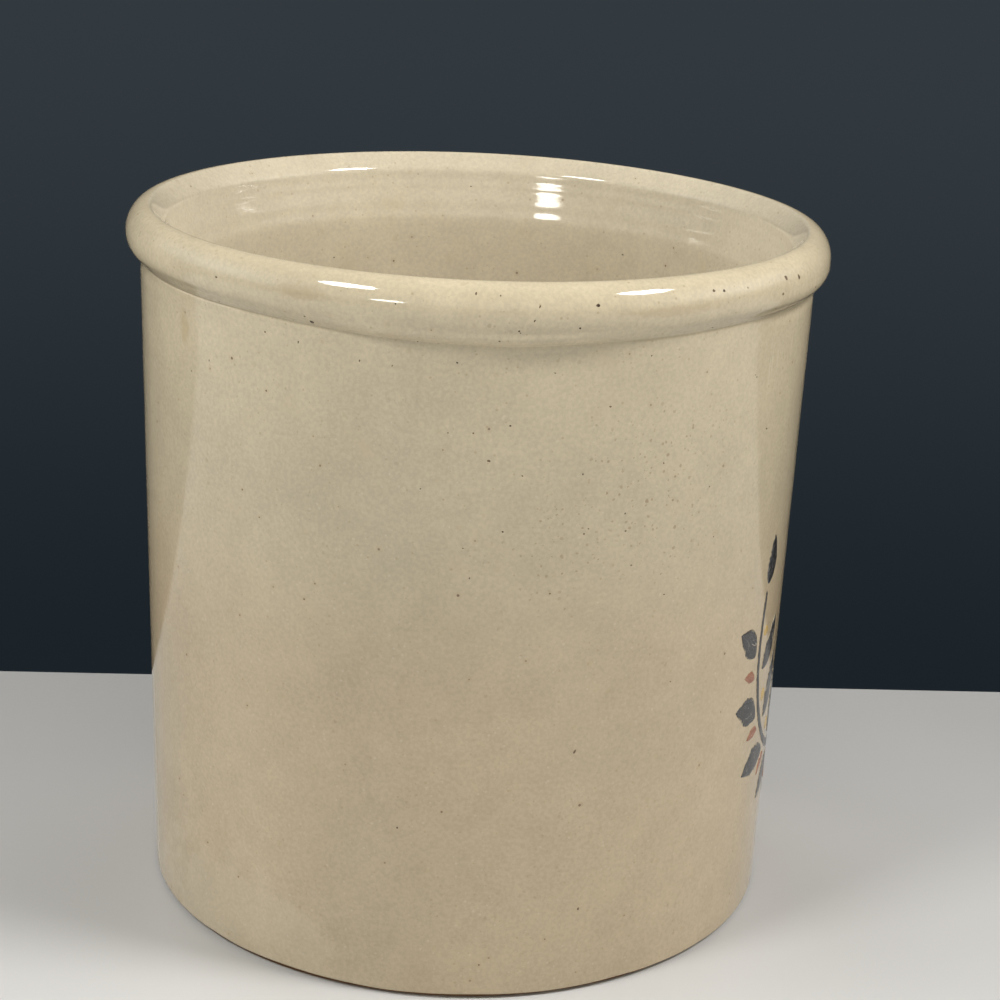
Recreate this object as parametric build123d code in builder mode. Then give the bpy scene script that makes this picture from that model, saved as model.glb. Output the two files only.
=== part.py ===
"""Utensil crock: a glazed stoneware pot with a rolled rim and a brushed spray.

Frame: millimetres, +Z up, origin at the centre of the foot on the table,
-Y towards the side that is seen from the front. Angles round the pot are
measured from -Y towards +X, so 90 degrees is the +X side.
"""

import math
import os

from build123d import *

# ---------------------------------------------------------------- dimensions
height = 166.3  # table to the top of the rim
rim_r = 82.5  # outermost radius of the rolled rim
neck_r = 79.3  # outside of the wall just under the rim
base_r = 76.5  # outside of the wall, carried down to the table

bead_a = 5.15  # half width of the rolled rim
bead_b = 6.08  # half height of the rolled rim
bead_r = 4.60  # radius of the rim's top and bottom arcs
neck_fillet = 1.1  # glaze gathered in the crease under the rim

crown_in_r = 1.7  # the crown's rounding on its inner side
bevel_tilt = 54.0  # lean of the bevel inside the mouth, in degrees from level
mouth_r = 73.75  # inside of the mouth, where the bevel ends
mouth_fillet = 1.0  # softens that edge
lip_r = 71.7  # inside of the wall where the flared lip ends
lip_z = 151.2  # height of that soft edge
floor_wall_r = 69.6  # inside of the wall, carried down to the floor
floor_z = 8.0  # glazed floor above the table
floor_fillet = 13.0  # inside corner between floor and wall
lip_fillet = 12.0  # softens the edge between the lip and the inside wall

glaze_t = 0.45  # fired thickness of the glaze
glaze_stop_z = 1.1  # bare clay below this height
foot_round = 1.3  # rounded outer edge of the foot
foot_inner_r = 67.0  # inside of the foot ring
foot_recess = 2.4  # depth of the trimmed recess under the floor
recess_fillet = 1.5
foot_inner_chamfer = 0.7

enamel_t = 0.16  # how far the brushed colours stand on the glaze
enamel_reach = 12.0  # depth of the cutters that trim the colours

# The spray, in millimetres: s runs round the wall from the +X side towards
# the back, z is the height above the table. A leaf or petal is
# (root s, root z, tip s, tip z, width, bend to the left of root-to-tip).
charcoal_leaves = [
    (-0.6, 39.0, -9.6, 56.1, 8.8, -1.4),
    (-16.5, 41.7, -17.6, 59.7, 8.3, -1.6),
    (-27.6, 50.3, -21.5, 65.4, 7.7, -1.0),
    (-33.6, 65.0, -25.2, 76.1, 7.0, -1.3),
    (-0.2, 33.3, -9.3, 22.2, 7.9, -1.1),
    (-13.2, 34.8, -26.3, 27.8, 7.7, -1.1),
    (-26.2, 41.1, -41.1, 39.5, 7.4, -0.9),
    (-35.7, 52.9, -47.9, 58.4, 7.0, -1.1),
    (-39.8, 70.1, -48.8, 78.2, 6.5, -0.9),
    (-35.8, 87.3, -33.7, 98.9, 6.5, -0.8),
    (23.7, 39.1, 33.5, 55.7, 8.8, 1.4),
    (39.5, 42.3, 40.3, 60.2, 8.3, 1.3),
    (50.7, 50.8, 44.8, 65.9, 7.7, 1.1),
    (57.1, 64.8, 49.5, 76.5, 7.0, 1.3),
    (23.6, 33.4, 33.9, 23.3, 7.9, 0.9),
    (36.4, 35.2, 50.0, 29.2, 7.7, 1.3),
    (49.4, 41.7, 64.1, 40.5, 7.4, 0.8),
    (58.8, 53.0, 71.6, 57.3, 7.0, 0.8),
    (63.4, 69.3, 72.9, 76.8, 6.5, 0.7),
    (60.1, 85.6, 58.4, 97.1, 6.5, 0.8),
]
rust_buds = [
    (-8.9, 34.1, -13.4, 28.1, 3.2, -0.5),
    (-22.6, 38.9, -28.8, 35.2, 3.1, -0.5),
    (-33.2, 49.1, -39.8, 48.5, 3.0, -0.5),
    (-38.9, 64.1, -44.8, 66.1, 2.9, -0.5),
    (32.2, 34.5, 36.8, 28.6, 3.0, 0.5),
    (45.8, 39.5, 51.9, 35.8, 3.1, 0.5),
    (56.3, 49.4, 62.9, 48.6, 3.0, 0.5),
    (62.2, 63.7, 68.2, 65.5, 2.9, 0.5),
    (8.7, 49.2, -0.5, 59.6, 4.7, -1.1),
    (14.3, 49.7, 23.8, 60.0, 4.7, 1.1),
]
ochre_petals = [
    (11.6, 78.7, 11.2, 88.5, 6.9, 0.5),
    (8.2, 76.6, 0.3, 81.4, 6.9, -0.5),
    (8.0, 72.5, -0.8, 67.7, 6.9, 0.5),
    (11.8, 70.2, 11.7, 60.4, 6.9, -0.5),
    (15.4, 72.2, 23.2, 67.2, 6.9, 0.5),
    (15.4, 76.7, 23.6, 81.8, 6.9, -0.5),
]
flower_heart = (11.8, 74.5, 3.1)  # s, z, radius
# Berries are (s, z, radius).
ochre_berries = [
    (-7.9, 40.8, 1.7),
    (-21.5, 46.3, 1.7),
    (-30.3, 57.2, 1.6),
    (-33.5, 74.8, 1.4),
    (31.0, 41.1, 1.6),
    (44.7, 46.9, 1.6),
    (53.5, 57.3, 1.5),
    (57.2, 74.0, 1.5),
    (11.6, 38.4, 2.1),
]
# A stem is its middle line, then its width at the root and at the end.
stems = [
    (
        [
            (8.2, 37.2),
            (0.4, 36.3),
            (-7.1, 36.5),
            (-14.1, 38.0),
            (-20.5, 40.7),
            (-26.1, 44.7),
            (-30.7, 50.1),
            (-34.2, 56.8),
            (-36.4, 64.9),
            (-37.0, 74.6),
            (-36.1, 85.7),
        ],
        2.7,
        1.3,
    ),
    (
        [
            (15.1, 36.9),
            (22.8, 36.3),
            (30.3, 36.9),
            (37.3, 38.5),
            (43.6, 41.3),
            (49.2, 45.3),
            (53.8, 50.5),
            (57.4, 56.9),
            (59.8, 64.6),
            (60.8, 73.6),
            (60.2, 83.9),
        ],
        2.7,
        1.3,
    ),
    ([(11.6, 42.0), (11.5, 45.2), (11.4, 48.8), (11.6, 52.4), (11.7, 56.7)], 2.2, 1.4),
]

# ------------------------------------------------------------------- profile
bead_c = rim_r - bead_a  # radius of the rim's middle line
bead_z = height - bead_b  # height of the rim's middle
small_c = bead_b - bead_r  # small arcs' centres above and below the middle
big_r = (bead_a**2 + small_c**2 - bead_r**2) / (2 * (bead_a - bead_r))
big_c = big_r - bead_a  # big arcs' centres across the middle line
join = math.degrees(math.atan2(small_c, big_c))  # where the arcs meet

wall_slope = (neck_r - base_r) / (bead_z - bead_b)
inner_slope = (lip_r - floor_wall_r) / (lip_z - floor_z)
wall_middle = (lip_r + neck_r) / 2 - 2.4  # inside the clay, near the floor
crown_z = height - crown_in_r  # centre of the rim's inside rounding


def wall_r(z):
    """Radius of the glazed outside wall at height z."""
    return base_r + wall_slope * z


def on_circle(cx, cz, r, degrees):
    """A point of a profile arc."""
    a = math.radians(degrees)
    return (cx + r * math.cos(a), cz + r * math.sin(a))


def section(skin, foot_z, corner_z):
    """Outline of half the pot with its skin taken off all round.

    skin is the thickness removed, foot_z the underside and corner_z the
    height of the floor."""
    small = bead_r - skin
    big = big_r - skin
    low = (bead_c, bead_z - small_c)  # centre of the lower small arc
    high = (bead_c, bead_z + small_c)
    outer = (bead_c - big_c, bead_z)
    crown = crown_in_r - skin
    # Where the wall meets the underside of the rim.
    crease_r = neck_r - skin
    crease_a = -math.degrees(math.acos((crease_r - low[0]) / small))
    crease = on_circle(*low, small, crease_a)
    # The rim falls inwards as a bevel, and the mouth flares a little from the
    # soft edge up to it. The clay's edge is where both, moved in by the skin, meet.
    tilt = math.radians(bevel_tilt)
    bevel_top = on_circle(bead_c, crown_z, crown, 90 + bevel_tilt)
    outer_top = on_circle(bead_c, crown_z, crown_in_r, 90 + bevel_tilt)
    fall = (outer_top[0] - mouth_r) * math.tan(tilt)
    mouth_z = outer_top[1] - fall
    flare = math.atan2(mouth_r - lip_r, mouth_z - lip_z)
    turn = math.cos(tilt + flare)
    mouth = (
        mouth_r + skin * (math.cos(tilt) - math.sin(flare)) / turn,
        mouth_z + skin * (math.sin(tilt) - math.cos(flare)) / turn,
    )
    lip_low = (lip_r + skin, lip_z)
    foot = (base_r - skin + wall_slope * foot_z, foot_z)
    corner = (lip_low[0] - inner_slope * (lip_z - corner_z), corner_z)
    return {
        "foot": foot,
        "crease": crease,
        "crease_a": crease_a,
        "bevel_top": bevel_top,
        "mouth": mouth,
        "lip_low": lip_low,
        "corner": corner,
        "small": small,
        "big": big,
        "low": low,
        "high": high,
        "outer": outer,
        "crown": crown,
    }


def near(vertices, point):
    """The sketch vertex at a profile point."""
    return vertices.sort_by_distance(Vector(point[0], point[1], 0))[0]


# --------------------------------------------------------------- clay body
clay = section(glaze_t, 0.0, floor_z - glaze_t)

with BuildPart() as stoneware_body:
    with BuildSketch(Plane.XZ) as body_section:
        with BuildLine():
            Polyline((0, foot_recess), (foot_inner_r, foot_recess), (foot_inner_r, 0), clay["foot"])
            Line(clay["foot"], clay["crease"])
            CenterArc(clay["low"], clay["small"], clay["crease_a"], -join - clay["crease_a"])
            CenterArc(clay["outer"], clay["big"], -join, 2 * join)
            CenterArc(clay["high"], clay["small"], join, 90 - join)
            CenterArc((bead_c, crown_z), clay["crown"], 90, bevel_tilt)
            Line(clay["bevel_top"], clay["mouth"])
            Line(clay["mouth"], clay["lip_low"])
            Line(clay["lip_low"], clay["corner"])
            Polyline(clay["corner"], (0, clay["corner"][1]), (0, foot_recess))
        make_face()
        fillet(near(body_section.vertices(), clay["crease"]), neck_fillet + glaze_t)
        fillet(near(body_section.vertices(), clay["mouth"]), mouth_fillet - glaze_t)
        fillet(near(body_section.vertices(), clay["lip_low"]), lip_fillet)
        fillet(near(body_section.vertices(), clay["corner"]), floor_fillet + glaze_t)
        fillet(near(body_section.vertices(), clay["foot"]), foot_round)
        fillet(near(body_section.vertices(), (foot_inner_r, foot_recess)), recess_fillet)
    revolve(axis=Axis.Z)
    # The foot ring's inner edge is softened with the trimming tool.
    inner_edge = (
        stoneware_body.edges()
        .filter_by(GeomType.CIRCLE)
        .group_by(Axis.Z)[0]
        .sort_by(SortBy.RADIUS)[0]
    )
    chamfer(inner_edge, foot_inner_chamfer)

# ------------------------------------------------------------------- glazes
# The liner glaze is poured inside and runs up to the crown of the rim. The
# outer glaze covers the rest of the rim and the wall down to the foot.
finish = section(0.0, glaze_stop_z, floor_z)
top_z = finish["high"][1] + finish["small"]

with BuildPart() as interior_glaze:
    with BuildSketch(Plane.XZ) as interior_section:
        with BuildLine():
            CenterArc((bead_c, crown_z), finish["crown"], 90, bevel_tilt)
            Line(finish["bevel_top"], finish["mouth"])
            Line(finish["mouth"], finish["lip_low"])
            Line(finish["lip_low"], finish["corner"])
            Polyline(
                finish["corner"],
                (0, finish["corner"][1]),
                (0, floor_z - 2),
                (wall_middle, floor_z - 2),
                (bead_c, bead_z - bead_b),
                (bead_c, top_z),
            )
        make_face()
        fillet(near(interior_section.vertices(), finish["mouth"]), mouth_fillet)
        fillet(near(interior_section.vertices(), finish["lip_low"]), lip_fillet)
        fillet(near(interior_section.vertices(), finish["corner"]), floor_fillet)
    revolve(axis=Axis.Z)
    add(stoneware_body.part, mode=Mode.SUBTRACT)

with BuildPart() as exterior_glaze:
    with BuildSketch(Plane.XZ) as exterior_section:
        with BuildLine():
            Line(finish["foot"], finish["crease"])
            CenterArc(finish["low"], finish["small"], finish["crease_a"], -join - finish["crease_a"])
            CenterArc(finish["outer"], finish["big"], -join, 2 * join)
            CenterArc(finish["high"], finish["small"], join, 90 - join)
            Polyline(
                (bead_c, top_z),
                (bead_c, bead_z - bead_b),
                (wall_middle, glaze_stop_z),
                finish["foot"],
            )
        make_face()
        fillet(near(exterior_section.vertices(), finish["crease"]), neck_fillet)
    revolve(axis=Axis.Z)
    add(stoneware_body.part, mode=Mode.SUBTRACT)

# ---------------------------------------------------------- brushed colours


def middle_plane(s, z):
    """A plane on the wall at (s, z), its x round the pot and its y up."""
    a = math.radians(90.0) + s / neck_r
    outward = Vector(math.sin(a), -math.cos(a), 0)
    return Plane(
        origin=outward * wall_r(z) + Vector(0, 0, z),
        x_dir=Vector(math.cos(a), math.sin(a), 0),
        z_dir=outward,
    )


def flat(point, centre):
    """An unrolled point (s, z) seen square on from the plane at centre."""
    turn = (point[0] - centre[0]) / neck_r
    return (wall_r(point[1]) * math.sin(turn), point[1] - centre[1])


def stroke_sides(points, widths, centre):
    """Left and right sides of a brushed stroke, in the plane at centre."""
    left, right = [], []
    for i, (s, z) in enumerate(points):
        a = points[max(i - 1, 0)]
        b = points[min(i + 1, len(points) - 1)]
        length = math.hypot(b[0] - a[0], b[1] - a[1])
        nx, nz = -(b[1] - a[1]) / length, (b[0] - a[0]) / length
        left.append(flat((s + nx * widths[i] / 2, z + nz * widths[i] / 2), centre))
        right.append(flat((s - nx * widths[i] / 2, z - nz * widths[i] / 2), centre))
    return left, right


def leaf_line(leaf, lean, fullness):
    """Middle line and widths of a leaf, from its root to its tip."""
    rs, rz, ts, tz, width, bend = leaf
    length = math.hypot(ts - rs, tz - rz)
    nx, nz = -(tz - rz) / length, (ts - rs) / length
    points, widths = [], []
    for u in (0.0, 0.05, 0.15, 0.3, 0.45, 0.6, 0.75, 0.88, 1.0):
        k = 4 * bend * u * (1 - u)
        points.append((rs + (ts - rs) * u + nx * k, rz + (tz - rz) * u + nz * k))
        full = math.sin(math.pi * u**lean) ** fullness if 0 < u < 1 else 0.0
        widths.append(width * full)
    return points, widths


def leaf_middle(leaf):
    """The unrolled point halfway along a leaf."""
    return ((leaf[0] + leaf[2]) / 2, (leaf[1] + leaf[3]) / 2)


# The thin layer that the brushed colours fill, all round the wall.
skin_low, skin_high = 18.0, 104.0
with BuildPart() as enamel_skin:
    with BuildSketch(Plane.XZ):
        with BuildLine():
            Polyline(
                (wall_r(skin_low), skin_low),
                (wall_r(skin_low) + enamel_t, skin_low),
                (wall_r(skin_high) + enamel_t, skin_high),
                (wall_r(skin_high), skin_high),
                close=True,
            )
        make_face()
    revolve(axis=Axis.Z)

with BuildPart() as charcoal_leaf_strokes:
    add(enamel_skin.part)
    for leaf in charcoal_leaves:
        middle = leaf_middle(leaf)
        side_a, side_b = stroke_sides(*leaf_line(leaf, 0.85, 0.8), middle)
        with BuildSketch(middle_plane(*middle).offset(-enamel_reach / 2)):
            with BuildLine():
                Spline(*side_a)
                Spline(*side_b)
            make_face()
    extrude(amount=enamel_reach, mode=Mode.INTERSECT)

with BuildPart() as charcoal_stem_strokes:
    add(enamel_skin.part)
    for points, root_w, end_w in stems:
        count = len(points)
        middle = points[count // 2]
        widths = [root_w + (end_w - root_w) * i / (count - 1) for i in range(count)]
        side_a, side_b = stroke_sides(points, widths, middle)
        with BuildSketch(middle_plane(*middle).offset(-enamel_reach)):
            with BuildLine():
                Spline(*side_a)
                Line(side_a[-1], side_b[-1])
                Spline(*side_b)
                Line(side_b[0], side_a[0])
            make_face()
    extrude(amount=2 * enamel_reach, mode=Mode.INTERSECT)

with BuildPart() as rust_bud_strokes:
    add(enamel_skin.part)
    for leaf in rust_buds:
        middle = leaf_middle(leaf)
        side_a, side_b = stroke_sides(*leaf_line(leaf, 0.85, 0.8), middle)
        with BuildSketch(middle_plane(*middle).offset(-enamel_reach / 2)):
            with BuildLine():
                Spline(*side_a)
                Spline(*side_b)
            make_face()
    extrude(amount=enamel_reach, mode=Mode.INTERSECT)

with BuildPart() as rust_flower_heart:
    add(enamel_skin.part)
    with BuildSketch(middle_plane(*flower_heart[:2]).offset(-enamel_reach / 2)):
        Circle(flower_heart[2])
    extrude(amount=enamel_reach, mode=Mode.INTERSECT)

with BuildPart() as ochre_flower_petals:
    add(enamel_skin.part)
    for leaf in ochre_petals:
        middle = leaf_middle(leaf)
        side_a, side_b = stroke_sides(*leaf_line(leaf, 1.15, 0.62), middle)
        with BuildSketch(middle_plane(*middle).offset(-enamel_reach / 2)):
            with BuildLine():
                Spline(*side_a)
                Spline(*side_b)
            make_face()
    extrude(amount=enamel_reach, mode=Mode.INTERSECT)

with BuildPart() as ochre_berry_dots:
    add(enamel_skin.part)
    for s, z, r in ochre_berries:
        with BuildSketch(middle_plane(s, z).offset(-enamel_reach / 2)):
            Circle(r)
    extrude(amount=enamel_reach, mode=Mode.INTERSECT)

# ------------------------------------------------------------------- export
os.makedirs("parts", exist_ok=True)

stoneware_body.part.label = "stoneware_body"
export_step(stoneware_body.part, "parts/stoneware_body.step")

interior_glaze.part.label = "interior_glaze"
export_step(interior_glaze.part, "parts/interior_glaze.step")

exterior_glaze.part.label = "exterior_glaze"
export_step(exterior_glaze.part, "parts/exterior_glaze.step")

charcoal_leaf_strokes.part.label = "charcoal_leaf_strokes"
export_step(charcoal_leaf_strokes.part, "parts/charcoal_leaf_strokes.step")

charcoal_stem_strokes.part.label = "charcoal_stem_strokes"
export_step(charcoal_stem_strokes.part, "parts/charcoal_stem_strokes.step")

rust_bud_strokes.part.label = "rust_bud_strokes"
export_step(rust_bud_strokes.part, "parts/rust_bud_strokes.step")

rust_flower_heart.part.label = "rust_flower_heart"
export_step(rust_flower_heart.part, "parts/rust_flower_heart.step")

ochre_flower_petals.part.label = "ochre_flower_petals"
export_step(ochre_flower_petals.part, "parts/ochre_flower_petals.step")

ochre_berry_dots.part.label = "ochre_berry_dots"
export_step(ochre_berry_dots.part, "parts/ochre_berry_dots.step")

for made in (
    stoneware_body,
    interior_glaze,
    exterior_glaze,
    charcoal_leaf_strokes,
    charcoal_stem_strokes,
    rust_bud_strokes,
    rust_flower_heart,
    ochre_flower_petals,
    ochre_berry_dots,
):
    print(made.part.label, len(made.part.solids()), round(made.part.volume, 1))
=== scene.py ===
"""Looks for the utensil crock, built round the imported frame.

Metres, +Z up, origin at the centre of the foot on the table. The profile below
is written in millimetres and repeats the CAD section, with the small swells
and hollows that the fired glaze shows. Angles round the pot (azimuths) run
from -Y towards +X.
"""

import math

import bpy
import numpy as np
from mathutils import Matrix, Vector


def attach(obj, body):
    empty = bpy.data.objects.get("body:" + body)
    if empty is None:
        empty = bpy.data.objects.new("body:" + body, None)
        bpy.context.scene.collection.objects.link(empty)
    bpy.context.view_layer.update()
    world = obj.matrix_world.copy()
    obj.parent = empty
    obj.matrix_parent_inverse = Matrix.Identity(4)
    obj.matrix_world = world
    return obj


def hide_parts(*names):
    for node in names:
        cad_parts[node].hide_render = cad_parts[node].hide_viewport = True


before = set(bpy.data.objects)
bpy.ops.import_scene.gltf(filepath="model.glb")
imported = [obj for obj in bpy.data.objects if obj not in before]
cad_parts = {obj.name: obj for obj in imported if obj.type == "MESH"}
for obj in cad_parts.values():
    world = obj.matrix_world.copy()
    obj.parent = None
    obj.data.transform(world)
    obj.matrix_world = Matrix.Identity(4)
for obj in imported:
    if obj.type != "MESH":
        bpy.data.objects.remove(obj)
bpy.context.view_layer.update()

MM = 0.001

# ------------------------------------------------------------- CAD section
height = 166.3
rim_r = 82.5
neck_r = 79.3
base_r = 76.5
bead_a = 5.15
bead_b = 6.08
bead_r = 4.60
neck_fillet = 1.1
lip_r = 71.7
lip_z = 151.2
floor_wall_r = 69.6
floor_z = 8.0
floor_fillet = 13.0
glaze_t = 0.45
glaze_stop_z = 1.1
foot_round = 1.3
foot_inner_r = 67.0
foot_recess = 2.4
recess_fillet = 1.5
foot_inner_chamfer = 0.7
enamel_t = 0.16

bead_c = rim_r - bead_a
bead_z = height - bead_b
small_c = bead_b - bead_r
big_r = (bead_a**2 + small_c**2 - bead_r**2) / (2 * (bead_a - bead_r))
big_c = big_r - bead_a
join = math.degrees(math.atan2(small_c, big_c))
wall_slope = (neck_r - base_r) / (bead_z - bead_b)
inner_slope = (lip_r - floor_wall_r) / (lip_z - floor_z)


def wall_r(z):
    """Radius of the glazed outside wall at height z."""
    return base_r + wall_slope * z


def step(low, high, x):
    """0 below low, 1 above high, smooth between."""
    t = np.clip((np.asarray(x, float) - low) / (high - low), 0.0, 1.0)
    return t * t * (3 - 2 * t)


def arc(cx, cz, r, a0, a1, n):
    """n + 1 points of a profile arc."""
    a = np.radians(np.linspace(a0, a1, n + 1))
    return np.stack([cx + r * np.cos(a), cz + r * np.sin(a)], 1)


def run(a, b, n):
    """n + 1 points of a straight profile line."""
    t = np.linspace(0, 1, n + 1)[:, None]
    return np.asarray(a, float) * (1 - t) + np.asarray(b, float) * t


def rounded(before, corner, after, r, n):
    """The arc of radius r that joins two profile lines at a corner."""
    before, corner, after = (np.asarray(p, float) for p in (before, corner, after))
    u = (before - corner) / np.linalg.norm(before - corner)
    v = (after - corner) / np.linalg.norm(after - corner)
    half = math.acos(max(-1.0, min(1.0, float(u @ v)))) / 2
    reach = r / math.tan(half)
    middle = corner + (u + v) / np.linalg.norm(u + v) * (r / math.sin(half))
    p, q = corner + u * reach, corner + v * reach
    a0 = math.atan2(*(p - middle)[::-1])
    a1 = math.atan2(*(q - middle)[::-1])
    if a1 - a0 > math.pi:
        a1 -= 2 * math.pi
    if a0 - a1 > math.pi:
        a1 += 2 * math.pi
    return arc(middle[0], middle[1], r, math.degrees(a0), math.degrees(a1), n)


def clean(points, least=1e-4):
    """Profile points without repeats."""
    kept = [points[0]]
    for p in points[1:]:
        if np.linalg.norm(p - kept[-1]) > least:
            kept.append(p)
    return np.array(kept)


def resample(points, gaps):
    """Points along a profile, as close together as gaps(r, z) asks for."""
    d = np.r_[0, np.cumsum(np.linalg.norm(np.diff(points, axis=0), axis=1))]
    fine = np.linspace(0, d[-1], max(8, int(d[-1] / 0.02)))
    r, z = np.interp(fine, d, points[:, 0]), np.interp(fine, d, points[:, 1])
    load = np.r_[0, np.cumsum(np.diff(fine) / gaps((r[1:] + r[:-1]) / 2, (z[1:] + z[:-1]) / 2))]
    n = max(2, int(round(load[-1])))
    at = np.interp(np.linspace(0, load[-1], n + 1), load, fine)
    return np.stack([np.interp(at, d, points[:, 0]), np.interp(at, d, points[:, 1])], 1)


def shifted(points, amount):
    """A profile moved sideways by amount, to the right of its direction."""
    t = np.gradient(points, axis=0)
    t /= np.linalg.norm(t, axis=1)[:, None]
    return points + np.stack([t[:, 1], -t[:, 0]], 1) * np.asarray(amount)[..., None]


# Outside, from the foot up to the crown of the rim.
wall_top = bead_z - small_c + bead_r * math.sin(-math.acos((neck_r - bead_c) / bead_r))
crease_a = -math.degrees(math.acos((neck_r - bead_c) / bead_r))
low_arc = arc(bead_c, bead_z - small_c, bead_r, crease_a, -join, 60)
crease = np.array([neck_r, wall_top])
after = low_arc[14]
soft = rounded((base_r, 0.0), crease, after, neck_fillet, 24)
outer_line = clean(
    np.vstack(
        [
            run((wall_r(1.55), 1.55), soft[0], 400),
            soft,
            low_arc[15:],
            arc(bead_c - big_c, bead_z, big_r, -join, join, 200),
            arc(bead_c, bead_z + small_c, bead_r, join, 90, 80),
        ]
    )
)
# A shallow hollow below the roll.
outer_line = resample(outer_line, lambda r, z: np.full_like(r, 0.12))
hollow = -0.22 * step(150.6, 153.2, outer_line[:, 1]) * (1 - step(154.3, 155.2, outer_line[:, 1]))
outer_line = shifted(outer_line, hollow * (outer_line[:, 1] < 158.0))
# The roll's underside against the CAD's round one, by height: a little leaner
# at the left and back, fuller at the right, and at the front a ledge where the
# glaze has run. From -40 to 45 degrees glaze also fills the crease, and at the
# left the wall swells out to meet the roll a little higher.
lean_under = (np.array([154.3, 154.9, 155.5, 156.4, 157.5]), np.array([0.0, -0.20, -0.20, -0.10, 0.0]))
swell_under = (
    np.array([144.0, 149.0, 152.5, 154.2, 154.8, 155.4, 156.2]),
    np.array([0.0, 0.14, 0.34, 0.40, 0.26, 0.08, 0.0]),
)
full_under = (
    np.array([154.3, 154.9, 155.6, 156.4, 157.3, 158.4, 159.4, 160.2]),
    np.array([0.0, -0.28, -0.18, 0.05, 0.22, 0.24, 0.10, 0.0]),
)
fill_under = (
    np.array([149.0, 150.8, 152.2, 153.2, 154.0, 154.7, 155.4, 156.3]),
    np.array([0.0, 0.10, 0.30, 0.50, 0.56, 0.42, 0.16, 0.0]),
)
# Height of the crease round the pot, against the CAD's.
crease_shift = (
    np.array([-180, -95, -67, -56, -48, -39, -31, -22, -14, -7, 0, 6, 14, 22, 29, 36, 45, 57, 68, 95, 180]),
    np.array([0, 0.1, 0.15, 0.3, 0.3, 0.2, 0.0, -0.3, -0.7, -0.9, -0.95, -1.2, -0.6, -0.4, -0.3, -0.1, 0.1, -0.2, -0.3, -0.2, 0]),
)
ledge_under = (
    np.array([154.2, 154.7, 155.1, 155.5, 155.9, 156.3, 156.7, 157.1, 157.6, 158.4]),
    np.array([0.0, 0.05, 0.18, 0.34, 0.45, 0.38, 0.14, -0.07, -0.06, 0.0]),
)

# Inside, from the crown down to the middle of the floor: the bevel's tilt from
# level against the distance from the crown, then the wavy lip's lean.
bevel_at = np.array([0.0, 0.72, 1.6, 3.0, 3.4, 3.7, 3.8, 3.88])
bevel_tilt = np.array([0.0, 46.0, 49.5, 50.5, 55.0, 61.0, 70.0, 79.0])
turn = [(bead_c, height)]
while bead_c - turn[-1][0] < 3.87:
    r, z = turn[-1]
    a = math.radians(float(np.interp(bead_c - r, bevel_at, bevel_tilt)))
    turn.append((r - 0.02 * math.cos(a), z - 0.02 * math.sin(a)))
turn = np.array(turn)
lean_table = [
    (163.0, 12.0),
    (161.9, 12.3),
    (161.3, 9.6),
    (160.3, 9.2),
    (159.9, 10.8),
    (159.6, 12.4),
    (159.0, 12.8),
    (158.5, 12.2),
    (158.2, 9.9),
    (157.6, 9.7),
    (157.3, 12.2),
    (156.0, 12.9),
    (154.6, 12.5),
    (154.0, 11.9),
    (153.7, 9.9),
    (152.4, 9.7),
    (152.1, 12.2),
    (151.4, 12.9),
    (150.6, 12.0),
    (150.2, 8.0),
    (149.4, 3.2),
    (147.5, 0.6),
    (124.0, 0.2),
]
lean_z, lean = np.array(lean_table).T
lip = [turn[-1]]
while lip[-1][1] > 124.0:
    r, z = lip[-1]
    a = math.radians(float(np.interp(-z, -lean_z, lean)))
    lip.append((r - 0.1 * math.tan(a), z - 0.1))
lip = np.array(lip)
# Lower down the wall runs out on the CAD line.
aim = lip_r - inner_slope * (lip_z - lip[-1, 1])
lip[:, 0] += (aim - lip[-1, 0]) * step(-149.0, -124.0, -lip[:, 1])
corner = np.array([lip_r - inner_slope * (lip_z - floor_z), floor_z])
bend = rounded(lip[-1], corner, (0.0, floor_z), floor_fillet, 40)
inner_line = clean(np.vstack([turn, lip[1:], bend, run(bend[-1], (0.0, floor_z), 60)[1:]]))


# ------------------------------------------------------ the whole pot's warp
def warp(r, z, a):
    """The pot out of true by up to half a millimetre, never outwards.

    r and z in mm and a in radians go in, and x, y, z in mm come out."""
    up = np.clip(z / height, 0, 1)
    inward = 0.07 * (1 + np.cos(2 * (a - 0.7))) * (0.35 + 0.65 * up)
    inward = inward + 0.025 * (1 + np.cos(3 * a + 1.1)) * up
    for k, (n, l, p, size) in enumerate(
        ((5, 61.0, 0.3, 0.016), (7, 43.0, 2.1, 0.012), (4, 28.0, 4.0, 0.009), (11, 35.0, 1.2, 0.006), (9, 19.0, 5.1, 0.004))
    ):
        inward = inward + size * (1 + np.cos(n * a + 2 * math.pi * z / l + p))
    low = 0.06 * (1 + np.cos(a + 1.9)) * up**3 + 0.03 * (1 + np.cos(2 * a - 0.6)) * up**3
    # The rim dips a little at the back right.
    low = low + 0.45 * np.exp(4.0 * (np.cos(a - 2.2) - 1)) * up**6
    r = r - inward * np.clip(r / 40.0, 0, 1)
    return r * np.sin(a), -r * np.cos(a), z - low


# ------------------------------------------------------------------- meshes
def mesh_object(name, verts, faces, normals=None, material=None):
    """A mesh object from vertices in mm, smooth, with normals of its own."""
    me = bpy.data.meshes.new(name)
    me.from_pydata([tuple(v) for v in np.asarray(verts) * MM], [], faces)
    me.polygons.foreach_set("use_smooth", np.ones(len(me.polygons), bool))
    me.validate()
    if normals is not None:
        me.normals_split_custom_set_from_vertices([tuple(n) for n in normals])
    me.update()
    ob = bpy.data.objects.new(name, me)
    bpy.context.scene.collection.objects.link(ob)
    if material is not None:
        me.materials.append(material)
    return ob


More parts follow.
